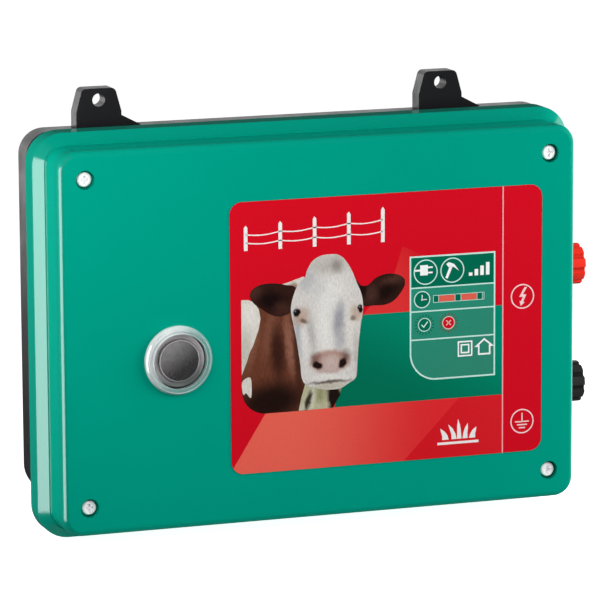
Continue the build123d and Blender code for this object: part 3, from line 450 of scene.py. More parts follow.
def circle(x, z, r, steps=48, start=0.0, end=360.0):
    """Points round a circle, or along an arc of it."""
    whole = abs(end - start - 360.0) < 1e-6
    count = steps if whole else steps + 1
    turns = [math.radians(start + (end - start) * i / steps) for i in range(count)]
    return [(x + r * math.cos(t), z + r * math.sin(t)) for t in turns]


def smooth_loop(points, steps=7):
    """A closed curve through a few points."""
    out = []
    n = len(points)
    for i in range(n):
        p0, p1, p2, p3 = (Vector(points[(i + k - 1) % n]) for k in range(4))
        for s in range(steps):
            t = s / steps
            out.append(tuple(0.5 * (2 * p1 + (p2 - p0) * t + (2 * p0 - 5 * p1 + 4 * p2 - p3) * t * t
                                    + (3 * p1 - p0 - 3 * p2 + p3) * t ** 3)))
    return out


PRINTS = []                                # every printed piece


class Print:
    """Printing of one colour: thin raised shapes on the label, all in one mesh."""

    def __init__(self, rise):
        self.bm = bmesh.new()
        self.rise = rise

    def corners(self, points, rise):
        return [self.bm.verts.new((MID_X + x * MM, PRINT_Y - rise * MM, MID_Z + z * MM)) for x, z in points]

    def plate(self, points):
        """A filled shape."""
        if area(points) < 0:
            points = points[::-1]
        top, base = self.corners(points, self.rise), self.corners(points, 0.0)
        faces = [self.bm.faces.new(top), self.bm.faces.new(base[::-1])]
        for face in faces:
            face.normal_update()
        n = len(points)
        for i in range(n):
            j = (i + 1) % n
            self.bm.faces.new((top[i], base[i], base[j], top[j]))
        bmesh.ops.triangulate(self.bm, faces=faces, ngon_method="EAR_CLIP")

    def line(self, points, width, closed=False):
        """A stroke of even width along straight runs."""
        n = len(points)
        sides = ([], [])
        for i in range(n):
            here = Vector(points[i])
            before = Vector(points[(i - 1) % n]) if closed or i else None
            after = Vector(points[(i + 1) % n]) if closed or i < n - 1 else None
            way_in = (here - before).normalized() if before is not None else (after - here).normalized()
            way_out = (after - here).normalized() if after is not None else way_in
            across = Vector((-way_in.y - way_out.y, way_in.x + way_out.x)).normalized()
            reach = width / 2 / max(across.dot(Vector((-way_in.y, way_in.x))), 0.35)
            for side, sign in zip(sides, (1, -1)):
                side.append(here + across * reach * sign)
        left, right = (self.corners([tuple(p) for p in s], self.rise) for s in sides)
        left_b, right_b = (self.corners([tuple(p) for p in s], 0.0) for s in sides)
        for i in range(n if closed else n - 1):
            j = (i + 1) % n
            for a, b in ((left, right), (right, right_b), (right_b, left_b), (left_b, left)):
                self.bm.faces.new((a[i], a[j], b[j], b[i]))
        if not closed:
            for i in (0, n - 1):
                self.bm.faces.new((left[i], right[i], right_b[i], left_b[i]))

    def box(self, x0, x1, z0, z1):
        self.plate([(x0, z0), (x1, z0), (x1, z1), (x0, z1)])

    def done(self, name, material):
        piece = keep(name, self.bm, material, "case")
        PRINTS.append(piece)
        return piece


# ------------------------------ label

LABEL_LEFT = (label_low.x - MID_X) / MM
LABEL_BOTTOM = (label_low.z - MID_Z) / MM
LABEL_TOP = (label_high.z - MID_Z) / MM
CORNER_R = 6.0
COLUMN_X = 90.5                            # thin line left of the two terminal symbols
SYMBOL_X = 100.9
BOLT_Z = 8.9
EARTH_Z = -51.9
INK_STEP = 0.03                            # each layer of print stands this much above the one below

WHITE = (0.96, 0.98, 0.97)
MINT = (0.60, 0.86, 0.78)
PINK = (0.92, 0.42, 0.45)
DARK_GREEN = (0.0, 0.158, 0.088)
MID_GREEN = (0.022, 0.270, 0.180)
CORAL = (0.78, 0.125, 0.085)

# coloured fields
BAND_TOP, BAND_BOTTOM = 5.4, -38.0
band = Print(1 * INK_STEP)
band.plate([(20.0, BAND_TOP), (5.4, BAND_BOTTOM), (COLUMN_X, BAND_BOTTOM), (COLUMN_X, BAND_TOP)])
band.done("label_green_band", ink("print_green_band", (0.0, 0.255, 0.155), (0.0, 0.165, 0.092),
                                  (60, 5), (40, -38)))

facet = Print(1 * INK_STEP)
facet.plate([(20.0, BAND_TOP), (53.0, BAND_TOP), (53.0, 31.0), (39.8, 36.8), (35.5, 23.2)])
facet.done("label_red_facet", ink("print_red_facet", (0.76, 0.034, 0.036), (0.64, 0.010, 0.018),
                                  (32, 16), (56, 28)))

field = Print(1 * INK_STEP)
arc = circle(LABEL_LEFT + CORNER_R, LABEL_BOTTOM + CORNER_R, CORNER_R, 24, 211.0, 270.0)
field.plate([(-28.6, BAND_BOTTOM), *arc, (40.4, LABEL_BOTTOM), (68.6, BAND_BOTTOM)])
field.done("label_coral_field", ink("print_coral_field", (0.86, 0.128, 0.090), (0.76, 0.024, 0.030),
                                    (-20, -50), (58, -54)))

corner = Print(1 * INK_STEP)
corner.plate([(40.4, LABEL_BOTTOM), (COLUMN_X, LABEL_BOTTOM), (COLUMN_X, BAND_BOTTOM), (68.6, BAND_BOTTOM)])
corner.done("label_red_corner", ink("print_red_corner", (0.68, 0.010, 0.018), (0.70, 0.014, 0.022),
                                    (55, -64), (88, -40)))

column = Print(2 * INK_STEP)
column.box(COLUMN_X, COLUMN_X + 0.6, LABEL_BOTTOM, LABEL_TOP)
column.done("label_column_line", ink("print_pink_line", PINK))

# terminal symbols: a bolt for the fence and the earth sign
symbols = Print(2 * INK_STEP)
for z in (BOLT_Z, EARTH_Z):
    symbols.line(circle(SYMBOL_X, z, 5.7), 0.6, closed=True)
bolt = [(1.0, 4.4), (-1.7, -0.2), (0.2, -0.2), (-0.7, -2.3), (-1.5, -2.0), (-0.9, -4.6),
        (1.2, -2.9), (0.3, -2.7), (2.0, 0.9), (0.2, 0.9), (2.3, 4.4)]
symbols.plate([(SYMBOL_X + x, BOLT_Z + z) for x, z in bolt])
symbols.box(SYMBOL_X - 0.3, SYMBOL_X + 0.3, EARTH_Z - 0.2, EARTH_Z + 4.0)
for half, drop in ((3.6, 0.2), (2.6, 1.7), (1.6, 3.2)):
    symbols.box(SYMBOL_X - half, SYMBOL_X + half, EARTH_Z - drop - 0.3, EARTH_Z - drop + 0.3)
symbols.done("label_terminal_symbols", ink("print_symbol_white", (0.93, 0.68, 0.69)))

# table of data with pictograms in four rows
TABLE_LEFT, TABLE_RIGHT, TABLE_TOP, TABLE_BOTTOM = 43.8, 86.5, 31.3, -28.0
ROW_LINES = (16.4, 5.0, -8.6)
TURN_R = 13.0                              # the table's rounded corner
TURN_X = TABLE_LEFT + TURN_R
PLUG, HAMMER, CLOCK = (51.5, 23.8), (65.0, 23.9), (49.7, 10.7)
GOOD_LAMP, FAULT_LAMP = (50.9, -1.5), (63.1, -1.3)
PERIODS = (9.1, 12.1)                      # bottom and top of the clock's strip of periods
STRIP = (8.9, 12.3)                        # the same, with its outline
turn = circle(TURN_X, TABLE_BOTTOM + TURN_R, TURN_R, 24, 180.0, 270.0)


def sun(layer, middle, inner, first, count=18, reach=1.2):
    """Short rays round a lamp's disc."""
    for i in range(count):
        turn_at = math.radians(360 / count * i + first)
        way = Vector((math.cos(turn_at), math.sin(turn_at)))
        layer.line([tuple(Vector(middle) + way * r) for r in (inner, inner + reach)], 0.5)


pale = Print(2 * INK_STEP)
pale.plate([(TABLE_LEFT, ROW_LINES[0]), *turn, (TABLE_RIGHT, TABLE_BOTTOM), (TABLE_RIGHT, ROW_LINES[0])])
pale.done("label_table_rows", ink("print_table_green", MID_GREEN, (0.030, 0.245, 0.165), (50, 10), (80, -28)))

dark = Print(3 * INK_STEP)
dark.box(TABLE_LEFT, TABLE_RIGHT, ROW_LINES[0], TABLE_TOP)
dark.plate(circle(*CLOCK, 3.8))
for x0, x1 in ((55.6, 58.0), (66.6, 69.2), (77.8, 80.1)):
    dark.box(x0, x1, *PERIODS)
dark.plate(circle(*GOOD_LAMP, 3.0))
sun(dark, GOOD_LAMP, 3.8, 0)
dark.done("label_dark_green_print", ink("print_dark_green", DARK_GREEN, (0.0, 0.138, 0.075),
                                        (50, 28), (86, 18)))

warm = Print(3 * INK_STEP)
for x0, x1 in ((58.2, 66.2), (69.6, 77.4)):
    warm.box(x0, x1, *PERIODS)
warm.done("label_coral_print", ink("print_coral", CORAL))

fault = Print(3 * INK_STEP)
fault.plate(circle(*FAULT_LAMP, 2.9))
fault.done("label_red_print", ink("print_fault_red", (0.62, 0.006, 0.016)))

rays = Print(3 * INK_STEP)
sun(rays, FAULT_LAMP, 3.7, 10)
rays.done("label_brown_print", ink("print_ray_brown", (0.13, 0.10, 0.055)))

lines = Print(4 * INK_STEP)
LINE_W = 0.75
lines.line([(TABLE_LEFT, TABLE_TOP), *turn, (TABLE_RIGHT, TABLE_BOTTOM), (TABLE_RIGHT, TABLE_TOP)],
           LINE_W, closed=True)
for z in ROW_LINES:
    lines.box(TABLE_LEFT + LINE_W / 2, TABLE_RIGHT - LINE_W / 2, z - 0.33, z + 0.33)
for badge in (PLUG, HAMMER):
    lines.line(circle(*badge, 5.8), 0.55, closed=True)
lines.line(circle(*CLOCK, 3.9), 0.5, closed=True)
lines.line(circle(*GOOD_LAMP, 3.1), 0.35, closed=True)
lines.line([(GOOD_LAMP[0] + x, GOOD_LAMP[1] + z) for x, z in ((-1.5, 0.1), (-0.4, -1.1), (1.6, 1.4))], 0.55)
for x in (55.4, 58.1, 66.4, 69.4, 77.6, 80.3, 81.2):
    lines.box(x - 0.12, x + 0.12, *STRIP)
for z in STRIP:
    lines.box(55.3, 81.3, z - 0.12, z + 0.12)
lines.done("label_mint_lines", ink("print_mint", MINT))

halo = Print(4 * INK_STEP)
halo.line(circle(*FAULT_LAMP, 3.0), 0.4, closed=True)
for sign in (1, -1):
    halo.line([(FAULT_LAMP[0] + x, FAULT_LAMP[1] + x * sign) for x in (-1.2, 1.2)], 0.5)
halo.done("label_pink_ring", ink("print_pink_ring", (0.86, 0.55, 0.50)))

white = Print(5 * INK_STEP)
# mains plug
white.box(48.7, 52.6, 22.3, 27.2)
for z in (23.5, 26.0):
    white.box(52.6, 55.0, z - 0.4, z + 0.4)
white.box(45.9, 48.7, 24.3, 25.2)
# hammer
white.plate([(61.9, 27.0), (63.2, 27.9), (65.9, 26.9), (68.4, 23.5), (65.9, 25.3), (64.7, 25.8),
             (63.0, 25.5)])
white.plate([(63.7, 26.0), (65.1, 25.6), (62.6, 19.9), (61.5, 20.5)])
# clock hands
white.plate(circle(*CLOCK, 0.55, 16))
white.box(CLOCK[0] - 0.2, CLOCK[0] + 0.2, CLOCK[1], CLOCK[1] + 2.3)
white.box(CLOCK[0], CLOCK[0] + 2.4, CLOCK[1] - 0.2, CLOCK[1] + 0.2)
# rising bars for the output
BARS_X, BARS_Z, BAR_GAP, BAR_W = 73.4, 20.6, 2.9, 1.8
for i in range(4):
    left = BARS_X + BAR_GAP * i
    white.box(left, left + BAR_W, BARS_Z, BARS_Z + 1.6 + 1.5 * i)
# house, for use indoors
HOUSE_X, HOUSE_Z = 81.3, -14.2
house = [(-3.9, 0.6), (0.0, 3.8), (3.9, 0.6), (2.8, 0.6), (2.8, -3.4), (-2.8, -3.4), (-2.8, 0.6)]
white.line([(HOUSE_X + x, HOUSE_Z + z) for x, z in house], 0.8, closed=True)
# a square in a square, for double insulation
SQUARE_X, SQUARE_Z = 71.5, -14.4
for half in (3.4, 1.9):
    corners = [(-half, -half), (half, -half), (half, half), (-half, half)]
    white.line([(SQUARE_X + x, SQUARE_Z + z) for x, z in corners], 0.7, closed=True)
white.done("label_white_pictograms", ink("print_white", WHITE))

# a strip of fence where such labels carry a title, and a tuft of grass at the lower right
fence = Print(2 * INK_STEP)
POST_TOPS = (51.0, 52.2, 53.4, 54.6, 55.8)
POST_LEFT, POST_GAP, POST_FOOT, POST_HALF = -38.0, 17.0, 39.5, 0.9
WIRE_SAG = 0.9
for i, top in enumerate(POST_TOPS):
    x = POST_LEFT + POST_GAP * i
    left, right = x - POST_HALF, x + POST_HALF
    fence.plate([(left, POST_FOOT), (right, POST_FOOT), (right, top - 0.7), (x, top + 0.4),
                 (left, top - 0.7)])
for share in (0.32, 0.66):
    heights = [POST_FOOT + (top - POST_FOOT) * share for top in POST_TOPS]
    for i, (z0, z1) in enumerate(zip(heights, heights[1:])):
        run = [k / 8 for k in range(9)]
        fence.line([(POST_LEFT + POST_GAP * (i + t), z0 + (z1 - z0) * t - WIRE_SAG * math.sin(math.pi * t))
                    for t in run], 0.55)
# each blade of grass: lean of its tip, half width and root
BLADES = ((-9.0, 3.4, -6.4), (-5.0, 2.6, -2.0), (0.0, 2.4, 0.6), (5.0, 2.6, 3.6), (9.4, 3.2, 7.2))
GRASS_X, GRASS_Z = 68.0, -58.0
for lean, half, root in BLADES:
    tip = 9.6 - abs(lean) * 0.45
    sides = []
    for sign in (-1, 1):
        sides.append([(root + (lean - root) * t ** 2 + sign * half * (0.5 - 0.28 * t), tip * t)
                      for t in (0, 0.35, 0.7)])
    blade = [*sides[0], (lean, tip), *sides[1][::-1]]
    fence.plate([(GRASS_X + x, GRASS_Z + z) for x, z in blade])
fence.box(57.5, 78.5, -60.4, -59.2)
fence.done("label_white_fence", ink("print_fence_white", (0.90, 0.88, 0.87)))

# ------------------------------ the cow on the label

BROWN = (0.155, 0.048, 0.026)

bottom_left = circle(-28.5, -26.4, 12.0, 16, 180.0, 270.0)
body = Print(2 * INK_STEP)
body.plate([(-40.5, 16.4), *bottom_left, (-8.0, -38.4), (-8.0, -20.0), (-10.0, 12.0), (-14.0, 18.0),
            (-20.5, 21.6), (-29.0, 15.2), (-34.0, 15.6)])
body.done("label_cow_neck", painted("print_cow_neck", BROWN, [
    ((0.30, 0.120, 0.070), -35.0, -6.0, 2.4, 10.0, -14, 0.8, 0.6),
    ((0.27, 0.105, 0.065), -26.5, 1.0, 2.6, 12.0, -12, 0.8, 0.55),
    ((0.030, 0.010, 0.008), -22.6, -10.0, 3.2, 12.0, 4, 0.7, 0.85),
    ((0.34, 0.150, 0.100), -16.8, -6.0, 1.9, 13.0, 6, 0.8, 0.75),
    ((0.060, 0.022, 0.014), -12.6, -14.0, 2.0, 14.0, 4, 0.7, 0.8),
    ((0.012, 0.006, 0.005), -26.0, -33.0, 17.0, 9.0, 6, 0.6, 0.96),
    ((0.045, 0.016, 0.011), -21.0, 13.5, 6.0, 3.0, 0, 0.7, 0.9),
], fur=0.35))

patches = Print(3 * INK_STEP)
patches.plate([(-40.45, 16.4), (-37.0, 16.2), (-34.2, 15.0), (-31.8, 11.4), (-31.0, 7.0), (-31.9, 2.2),
               (-33.4, -2.0), (-34.6, -5.4), (-36.4, -8.6), (-38.0, -13.4), (-40.45, -19.4)])
patches.plate(smooth_loop([(-40.3, -22.6), (-36.4, -20.6), (-35.6, -25.0), (-36.0, -30.4), (-38.4, -28.0),
                           (-39.8, -28.6)], 5))
patches.plate(smooth_loop([(-21.4, 22.0), (-17.0, 23.4), (-12.0, 24.9), (-9.0, 25.0), (-10.0, 18.0),
                           (-15.0, 17.0), (-18.0, 19.4)], 5))
patches.done("label_cow_patches", painted("print_cow_patches", (0.74, 0.70, 0.63), [
    ((0.50, 0.46, 0.40), -38.5, -8.0, 2.4, 9.0, 0, 0.8, 0.6),
    ((0.30, 0.16, 0.11), -15.0, 21.0, 2.4, 2.0, 20, 0.5, 0.85),
    ((0.86, 0.83, 0.78), -36.0, 9.0, 4.0, 6.0, 20, 0.8, 0.7),
], fur=0.22))

throat = Print(3 * INK_STEP)
throat.plate([(-12.4, -38.3), (-11.0, -32.0), (-8.6, -24.0), (9.4, -27.0), (8.2, -32.5), (4.6, -38.1)])
throat.done("label_cow_throat", painted("print_cow_throat", (0.52, 0.50, 0.33), [
    ((0.70, 0.68, 0.56), -5.6, -33.0, 1.4, 6.0, -8, 0.8, 0.7),
    ((0.25, 0.25, 0.10), -1.6, -30.5, 2.2, 4.0, 0, 0.8, 0.7),
    ((0.016, 0.009, 0.007), 6.0, -34.0, 4.0, 7.0, 14, 0.3, 1.0),
    ((0.020, 0.010, 0.008), -7.6, -34.0, 1.5, 5.0, -16, 0.5, 0.95),
    ((0.62, 0.58, 0.46), -10.6, -37.6, 1.6, 2.4, -10, 0.5, 0.9),
], fur=0.25))

ears = Print(4 * INK_STEP)
ears.plate(smooth_loop([(-13.4, 20.4), (-18.4, 22.2), (-25.0, 23.4), (-31.0, 23.0), (-35.2, 20.8),
                        (-36.0, 17.4), (-34.0, 14.2), (-30.4, 11.6), (-26.4, 8.8), (-21.4, 7.4),
                        (-16.4, 8.8), (-13.0, 12.0)]))
ears.plate(smooth_loop([(15.6, 23.0), (19.0, 19.6), (22.6, 19.6), (26.4, 22.6), (31.0, 24.2), (36.0, 24.0),
                        (40.2, 22.0), (41.0, 18.8), (39.0, 15.0), (35.6, 11.4), (31.0, 9.6), (25.4, 9.6),
                        (20.4, 9.6), (17.6, 13.0)]))
ears.done("label_cow_ears", painted("print_cow_ears", (0.036, 0.013, 0.010), [
    ((0.085, 0.034, 0.024), -33.0, 19.0, 3.4, 3.0, 20, 0.8, 0.8),
    ((0.010, 0.005, 0.005), -26.0, 15.4, 6.4, 4.0, -10, 0.7, 0.9),
    ((0.070, 0.026, 0.018), -20.0, 11.0, 4.0, 3.0, -20, 0.8, 0.7),
    ((0.100, 0.042, 0.030), 35.0, 21.0, 5.0, 2.2, 10, 0.8, 0.7),
    ((0.012, 0.006, 0.005), 31.0, 15.6, 6.4, 3.0, 24, 0.7, 0.9),
    ((0.085, 0.036, 0.028), 24.0, 15.0, 3.4, 4.0, 0, 0.8, 0.7),
    ((0.014, 0.007, 0.006), 19.4, 17.6, 2.2, 4.4, 0, 0.6, 0.9),
], fur=0.4))

head = Print(5 * INK_STEP)
head.plate(smooth_loop([(3.6, 35.4), (-0.8, 35.0), (-5.0, 32.8), (-7.6, 29.0), (-9.0, 25.2), (-12.4, 21.8),
                        (-14.8, 16.6), (-16.0, 10.6), (-15.0, 4.0), (-13.6, -2.6), (-12.4, -10.0),
                        (-11.4, -16.8), (-10.8, -22.6), (-8.8, -26.0), (-4.0, -28.0), (2.0, -29.2),
                        (8.4, -29.0), (12.6, -26.8), (16.2, -24.4), (17.0, -18.4), (17.6, -9.6), (18.8, 1.0),
                        (20.0, 8.6), (19.2, 15.4), (16.8, 21.2), (14.2, 27.4), (10.8, 32.6), (7.4, 35.0)]))
SKIN = (0.50, 0.330, 0.235)
PUPIL = (0.010, 0.007, 0.008)
head.done("label_cow_head", painted("print_cow_head", (0.72, 0.69, 0.655), [
    # broad light and shade
    ((0.86, 0.84, 0.80), 4.0, 17.0, 7.0, 7.0, 0, 0.9, 0.8),
    ((0.46, 0.47, 0.49), -8.0, 24.0, 3.6, 5.0, -20, 0.9, 0.7),
    ((0.52, 0.52, 0.53), -1.6, 19.0, 2.6, 5.0, -10, 0.9, 0.55),
    ((0.40, 0.42, 0.46), -12.4, -1.0, 1.8, 9.0, 6, 0.9, 0.8),
    ((0.84, 0.82, 0.78), -9.4, -6.0, 1.8, 9.0, 6, 0.9, 0.7),
    ((0.44, 0.43, 0.42), -6.0, -1.0, 1.5, 8.0, 10, 0.9, 0.65),
    ((0.88, 0.86, 0.82), 0.8, 0.0, 3.4, 15.0, 3, 0.9, 0.9),
    ((0.26, 0.27, 0.33), 7.8, 3.6, 2.3, 8.0, -6, 0.8, 0.75),
    ((0.40, 0.40, 0.44), 9.0, -6.0, 2.0, 6.0, -12, 0.9, 0.6),
    ((0.82, 0.79, 0.73), 14.4, 0.0, 2.6, 9.0, 0, 0.9, 0.8),
    ((0.46, 0.44, 0.42), 16.8, -13.0, 1.6, 10.0, 4, 0.9, 0.6),
    # tuft between the ears
    ((0.40, 0.36, 0.31), 3.2, 31.0, 8.6, 4.4, 0, 0.7, 0.6),
    ((0.20, 0.17, 0.145), 6.8, 29.6, 2.4, 3.2, 8, 0.8, 0.6),
    ((0.66, 0.62, 0.57), 0.6, 33.0, 4.4, 2.0, 6, 0.9, 0.6),
    # eyes
    (SKIN, -11.0, 6.6, 3.4, 4.2, -14, 0.6, 0.75),
    ((0.12, 0.060, 0.040), -9.8, 4.6, 1.9, 1.1, -24, 0.6, 0.8),
    (PUPIL, -13.2, 8.8, 1.7, 1.8, 0, 0.35, 1.0),
    ((0.40, 0.42, 0.46), -13.7, 9.4, 0.35, 0.3, 0, 0.6, 0.6),
    (SKIN, 16.4, 6.4, 2.6, 3.6, 14, 0.7, 0.7),
    ((0.12, 0.060, 0.040), 15.0, 4.2, 1.4, 1.0, 20, 0.6, 0.7),
    (PUPIL, 18.5, 8.6, 1.3, 1.9, 0, 0.35, 1.0),
    ((0.40, 0.42, 0.46), 18.3, 9.2, 0.3, 0.3, 0, 0.6, 0.6),
    # muzzle
    ((0.46, 0.270, 0.215), 3.4, -15.6, 9.8, 5.4, 0, 0.22, 0.95),
    ((0.17, 0.080, 0.065), -4.0, -14.0, 2.6, 2.6, 30, 0.8, 0.75),
    ((0.15, 0.070, 0.058), 11.0, -14.2, 2.2, 3.2, -20, 0.8, 0.8),
    ((0.66, 0.52, 0.48), 3.6, -16.4, 4.4, 3.6, 0, 0.8, 0.85),
    ((0.60, 0.46, 0.43), 3.4, -19.6, 6.0, 1.6, 0, 0.7, 0.7),
    ((0.018, 0.008, 0.008), -3.0, -17.2, 2.6, 1.7, -28, 0.35, 1.0),
    ((0.018, 0.008, 0.008), 9.6, -17.0, 1.7, 2.5, -24, 0.35, 1.0),
    # mouth and chin
    ((0.84, 0.81, 0.76), 3.0, -23.2, 9.6, 1.7, 0, 0.7, 0.6),
    ((0.10, 0.060, 0.045), 3.2, -25.6, 9.6, 0.75, 0, 0.7, 0.9),
    ((0.50, 0.46, 0.34), 3.4, -27.8, 8.0, 1.4, 0, 0.8, 0.75),
], fur=0.26, wander=0.5))


# ------------------------------ lamp lens

def arc_of(r, rise, radius, start, end, steps=6):
    """Points along an arc of a profile, from a centre, in millimetres and degrees."""
    turns = [math.radians(start + (end - start) * i / steps) for i in range(steps + 1)]
    return [(r + radius * math.cos(t), rise + radius * math.sin(t)) for t in turns]


def turned(bm, profile, steps=96, closed=False):
    """A solid of revolution about the lamp's axis; the profile is closed, or starts and ends on the axis."""
    rings = []
    for r, rise in profile:
        y = LAMP.y - rise * MM
        if r == 0.0:
            rings.append([bm.verts.new((LAMP.x, y, LAMP.z))])
            continue
        turns = [2 * math.pi * i / steps for i in range(steps)]
        spots = [(LAMP.x + r * MM * math.cos(t), y, LAMP.z + r * MM * math.sin(t)) for t in turns]
        rings.append([bm.verts.new(spot) for spot in spots])
    for a, b in zip(rings, rings[1:] + rings[:1] if closed else rings[1:]):
        for i in range(steps):
            j = (i + 1) % steps
            if len(a) == 1:
                bm.faces.new((a[0], b[j], b[i]))
            elif len(b) == 1:
                bm.faces.new((a[i], a[j], b[0]))
            else:
                bm.faces.new((a[i], a[j], b[j], b[i]))


LENS_R, NECK_R, BORE_R, NECK_DEPTH = 16.5, 13.6, 12.6, 9.0
LENS_TOP = (cover_low.y - lens_low.y) / MM
profile = [(0.0, LENS_TOP - 0.15), (6.0, LENS_TOP - 0.2), (10.2, LENS_TOP - 0.3), (10.6, LENS_TOP - 0.05)]
profile += arc_of(12.0, LENS_TOP - 1.2, 1.2, 90, 0)
profile += [(13.2, 2.1), (13.3, 1.75), (13.5, 1.7), (13.75, 2.5), (14.1, 2.66)]
profile += [(14.8, 2.62), (15.0, 2.15), (15.15, 2.1), (15.35, 2.42)]
profile += arc_of(14.5, 0.6, 2.0, 52, 0)
profile += [(LENS_R, 0.0), (NECK_R, 0.0), (NECK_R, -NECK_DEPTH), (BORE_R, -NECK_DEPTH)]
profile += [(BORE_R, LENS_TOP - 1.8), (BORE_R - 0.4, LENS_TOP - 1.4), (10.2, LENS_TOP - 1.4)]
profile += [(9.9, LENS_TOP - 1.1), (0.0, LENS_TOP - 1.1)]
bm = bmesh.new()
turned(bm, profile)
lens = keep("indicator_lens_moulding", bm, FINISHES["clear_lens"], "case", smooth=True)
lens.data.set_sharp_from_angle(angle=math.radians(50))
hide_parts("indicator_lens")

# bead round the lamp's dark disc
disc_low, disc_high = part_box("lamp_disc")
DISC_R = (disc_high.x - disc_low.x) / 2 / MM
DISC_TOP = (cover_low.y - disc_low.y) / MM
BEAD_R = 0.24
bead = bmesh.new()
turned(bead, arc_of(DISC_R + BEAD_R / 2, DISC_TOP + BEAD_R / 3, BEAD_R, 0, 330, 11), closed=True)
keep("lamp_disc_bead", bead, FINISHES["lamp_grey"], "case", smooth=True)

# ------------------------------ threaded studs

THREAD_PITCH = 1.0
THREAD_R, THREAD_DEPTH = 3.0, 0.6
COLLAR_T, COLLAR_EDGE = 1.9, 0.3
collar_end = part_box("contact_washers")[0].x


def lathe(bm, profile, centre, steps=56):
    """A closed body of revolution about X, from (x, radius) pairs in metres."""
    rings = [[bm.verts.new((x, centre.y + r * math.cos(2 * math.pi * i / steps),
                            centre.z + r * math.sin(2 * math.pi * i / steps))) for i in range(steps)]
             for x, r in profile]
    for a, b in zip(rings, rings[1:]):
        for i in range(steps):
            j = (i + 1) % steps
            bm.faces.new((a[i], a[j], b[j], b[i]))
    bm.faces.new(rings[0])
    bm.faces.new(rings[-1])


def threaded_stud(name, node):
    """Stands for a CAD stud: a rod with a real thread, and its collar."""
    low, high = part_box(node)
    centre = (low + high) / 2
    bm = bmesh.new()
    steps, per_turn = 44, 10
    rows = int((high.x - low.x) / (THREAD_PITCH * MM) * per_turn)
    rings = []
    for k in range(rows + 1):
        x = low.x + (high.x - low.x) * k / rows
        ring = []
        for i in range(steps):
            turn_share = i / steps
            phase = ((x - low.x) / (THREAD_PITCH * MM) - turn_share) % 1.0
            height = min(1.0, max(0.0, abs(phase - 0.5) * 2.6 - 0.15))
            to_end = min(x - low.x, high.x - x) / MM
            r = min(THREAD_R - THREAD_DEPTH * (1 - height), THREAD_R - 0.7 + to_end)
            angle = 2 * math.pi * turn_share
            y, z = centre.y + r * MM * math.cos(angle), centre.z + r * MM * math.sin(angle)
            ring.append(bm.verts.new((x, y, z)))
        rings.append(ring)
    for a, b in zip(rings, rings[1:]):
        for i in range(steps):
            j = (i + 1) % steps
            bm.faces.new((a[i], a[j], b[j], b[i]))
    bm.faces.new(rings[0])
    bm.faces.new(rings[-1])
    collar_r = (high.z - low.z) / 2
    edge = COLLAR_EDGE * MM
    start, end = collar_end - COLLAR_T * MM, collar_end
    lathe(bm, [(start, collar_r - edge), (start + edge, collar_r), (end - edge, collar_r),
               (end, collar_r - edge)], centre)
    piece = keep(name, bm, FINISHES["stud_steel"], "case", smooth=True)
    piece.data.set_sharp_from_angle(angle=math.radians(50))
    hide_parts(node)


threaded_stud("fence_stud_threaded", "fence_stud")
threaded_stud("earth_stud_threaded", "earth_stud")

# ------------------------------ stage, lights and camera

centre = (cad_low + cad_high) / 2
panel = on_face(0, 0)
FLOOR_HALF, FLOOR_GAP = 6.0, 0.0005        # the floor's half width, and how far it lies under the object


def pale_floor():
    look = Look("stage_floor", Emission_Color=(1, 1, 1, 1), Emission_Strength=0.92)
    look.set("Base Color", look.mix(look.ramp(look.noise(3.0), 0.3, 0.7), shade((0.80,) * 3, 1.0),
                                    shade((0.82,) * 3, 1.0)))
    look.set("Roughness", look.ramp(look.noise(30.0), 0.3, 0.7, 0.8, 0.9))
    return look.material


bm = bmesh.new()
bmesh.ops.create_grid(bm, x_segments=8, y_segments=8, size=FLOOR_HALF)
mesh = bpy.data.meshes.new("floor")
bm.to_mesh(mesh)
bm.free()
mesh.materials.append(pale_floor())
floor = bpy.data.objects.new("floor", mesh)
floor.location = (centre.x, centre.y, cad_low.z - FLOOR_GAP)
floor.visible_diffuse = False
floor.visible_glossy = False
floor.visible_shadow = False
bpy.context.scene.collection.objects.link(floor)


def softbox(name, azimuth, elevation, distance, wide, tall, radiance, tint=(1.0, 1.0, 1.0)):
    """A rectangular light facing the panel's middle; azimuth counts to the right of straight ahead.

    Angles are in degrees, lengths in metres.
    """
    turn, lift = math.radians(azimuth), math.radians(elevation)
    away = Vector((math.sin(turn) * math.cos(lift), -math.cos(turn) * math.cos(lift), math.sin(lift)))
    data = bpy.data.lights.new(name, "AREA")
    data.shape = "RECTANGLE"
    data.size, data.size_y = wide, tall
    data.energy = radiance * math.pi * wide * tall
    data.color = tint
    lamp = bpy.data.objects.new(name, data)
    lamp.location = panel + away * distance
    lamp.rotation_mode = "QUATERNION"
    lamp.rotation_quaternion = (-away).to_track_quat("-Z", "Y")
    bpy.context.scene.collection.objects.link(lamp)
    return lamp


def only_on(lamp, pieces):
    """Lets a lamp light just some pieces."""
    group = bpy.data.collections.new("lit_by_" + lamp.name)
    for piece in pieces:
        group.objects.link(piece)
    lamp.light_linking.receiver_collection = group


# soft light on the surfaces, without a mirror image in the gloss
for lamp in (
    softbox("key_left", -50, 27, 0.34, 0.35, 0.30, 2.45),
    softbox("key_right", 63, 14, 0.80, 0.50, 0.50, 9.0),
    softbox("side_left", -112, 8, 0.45, 0.30, 0.35, 3.8),
    softbox("floor_glow", 0, -96, 0.40, 0.60, 0.12, 3.4),
):
    lamp.visible_glossy = False

# what the gloss mirrors; the label is left out, or it would be washed out when seen from the right
strip = softbox("strip", -71, -3.4, 0.40, 0.27, 0.35, 6.4, (1.0, 0.98, 1.03))
strip.visible_diffuse = False
matte = [*PRINTS, nodes["front_label"], floor]
only_on(strip, [piece for piece in bpy.context.scene.objects if piece.type == "MESH" and piece not in matte])
softbox("rim_right", 118, 0, 0.50, 0.45, 0.50, 1.4)

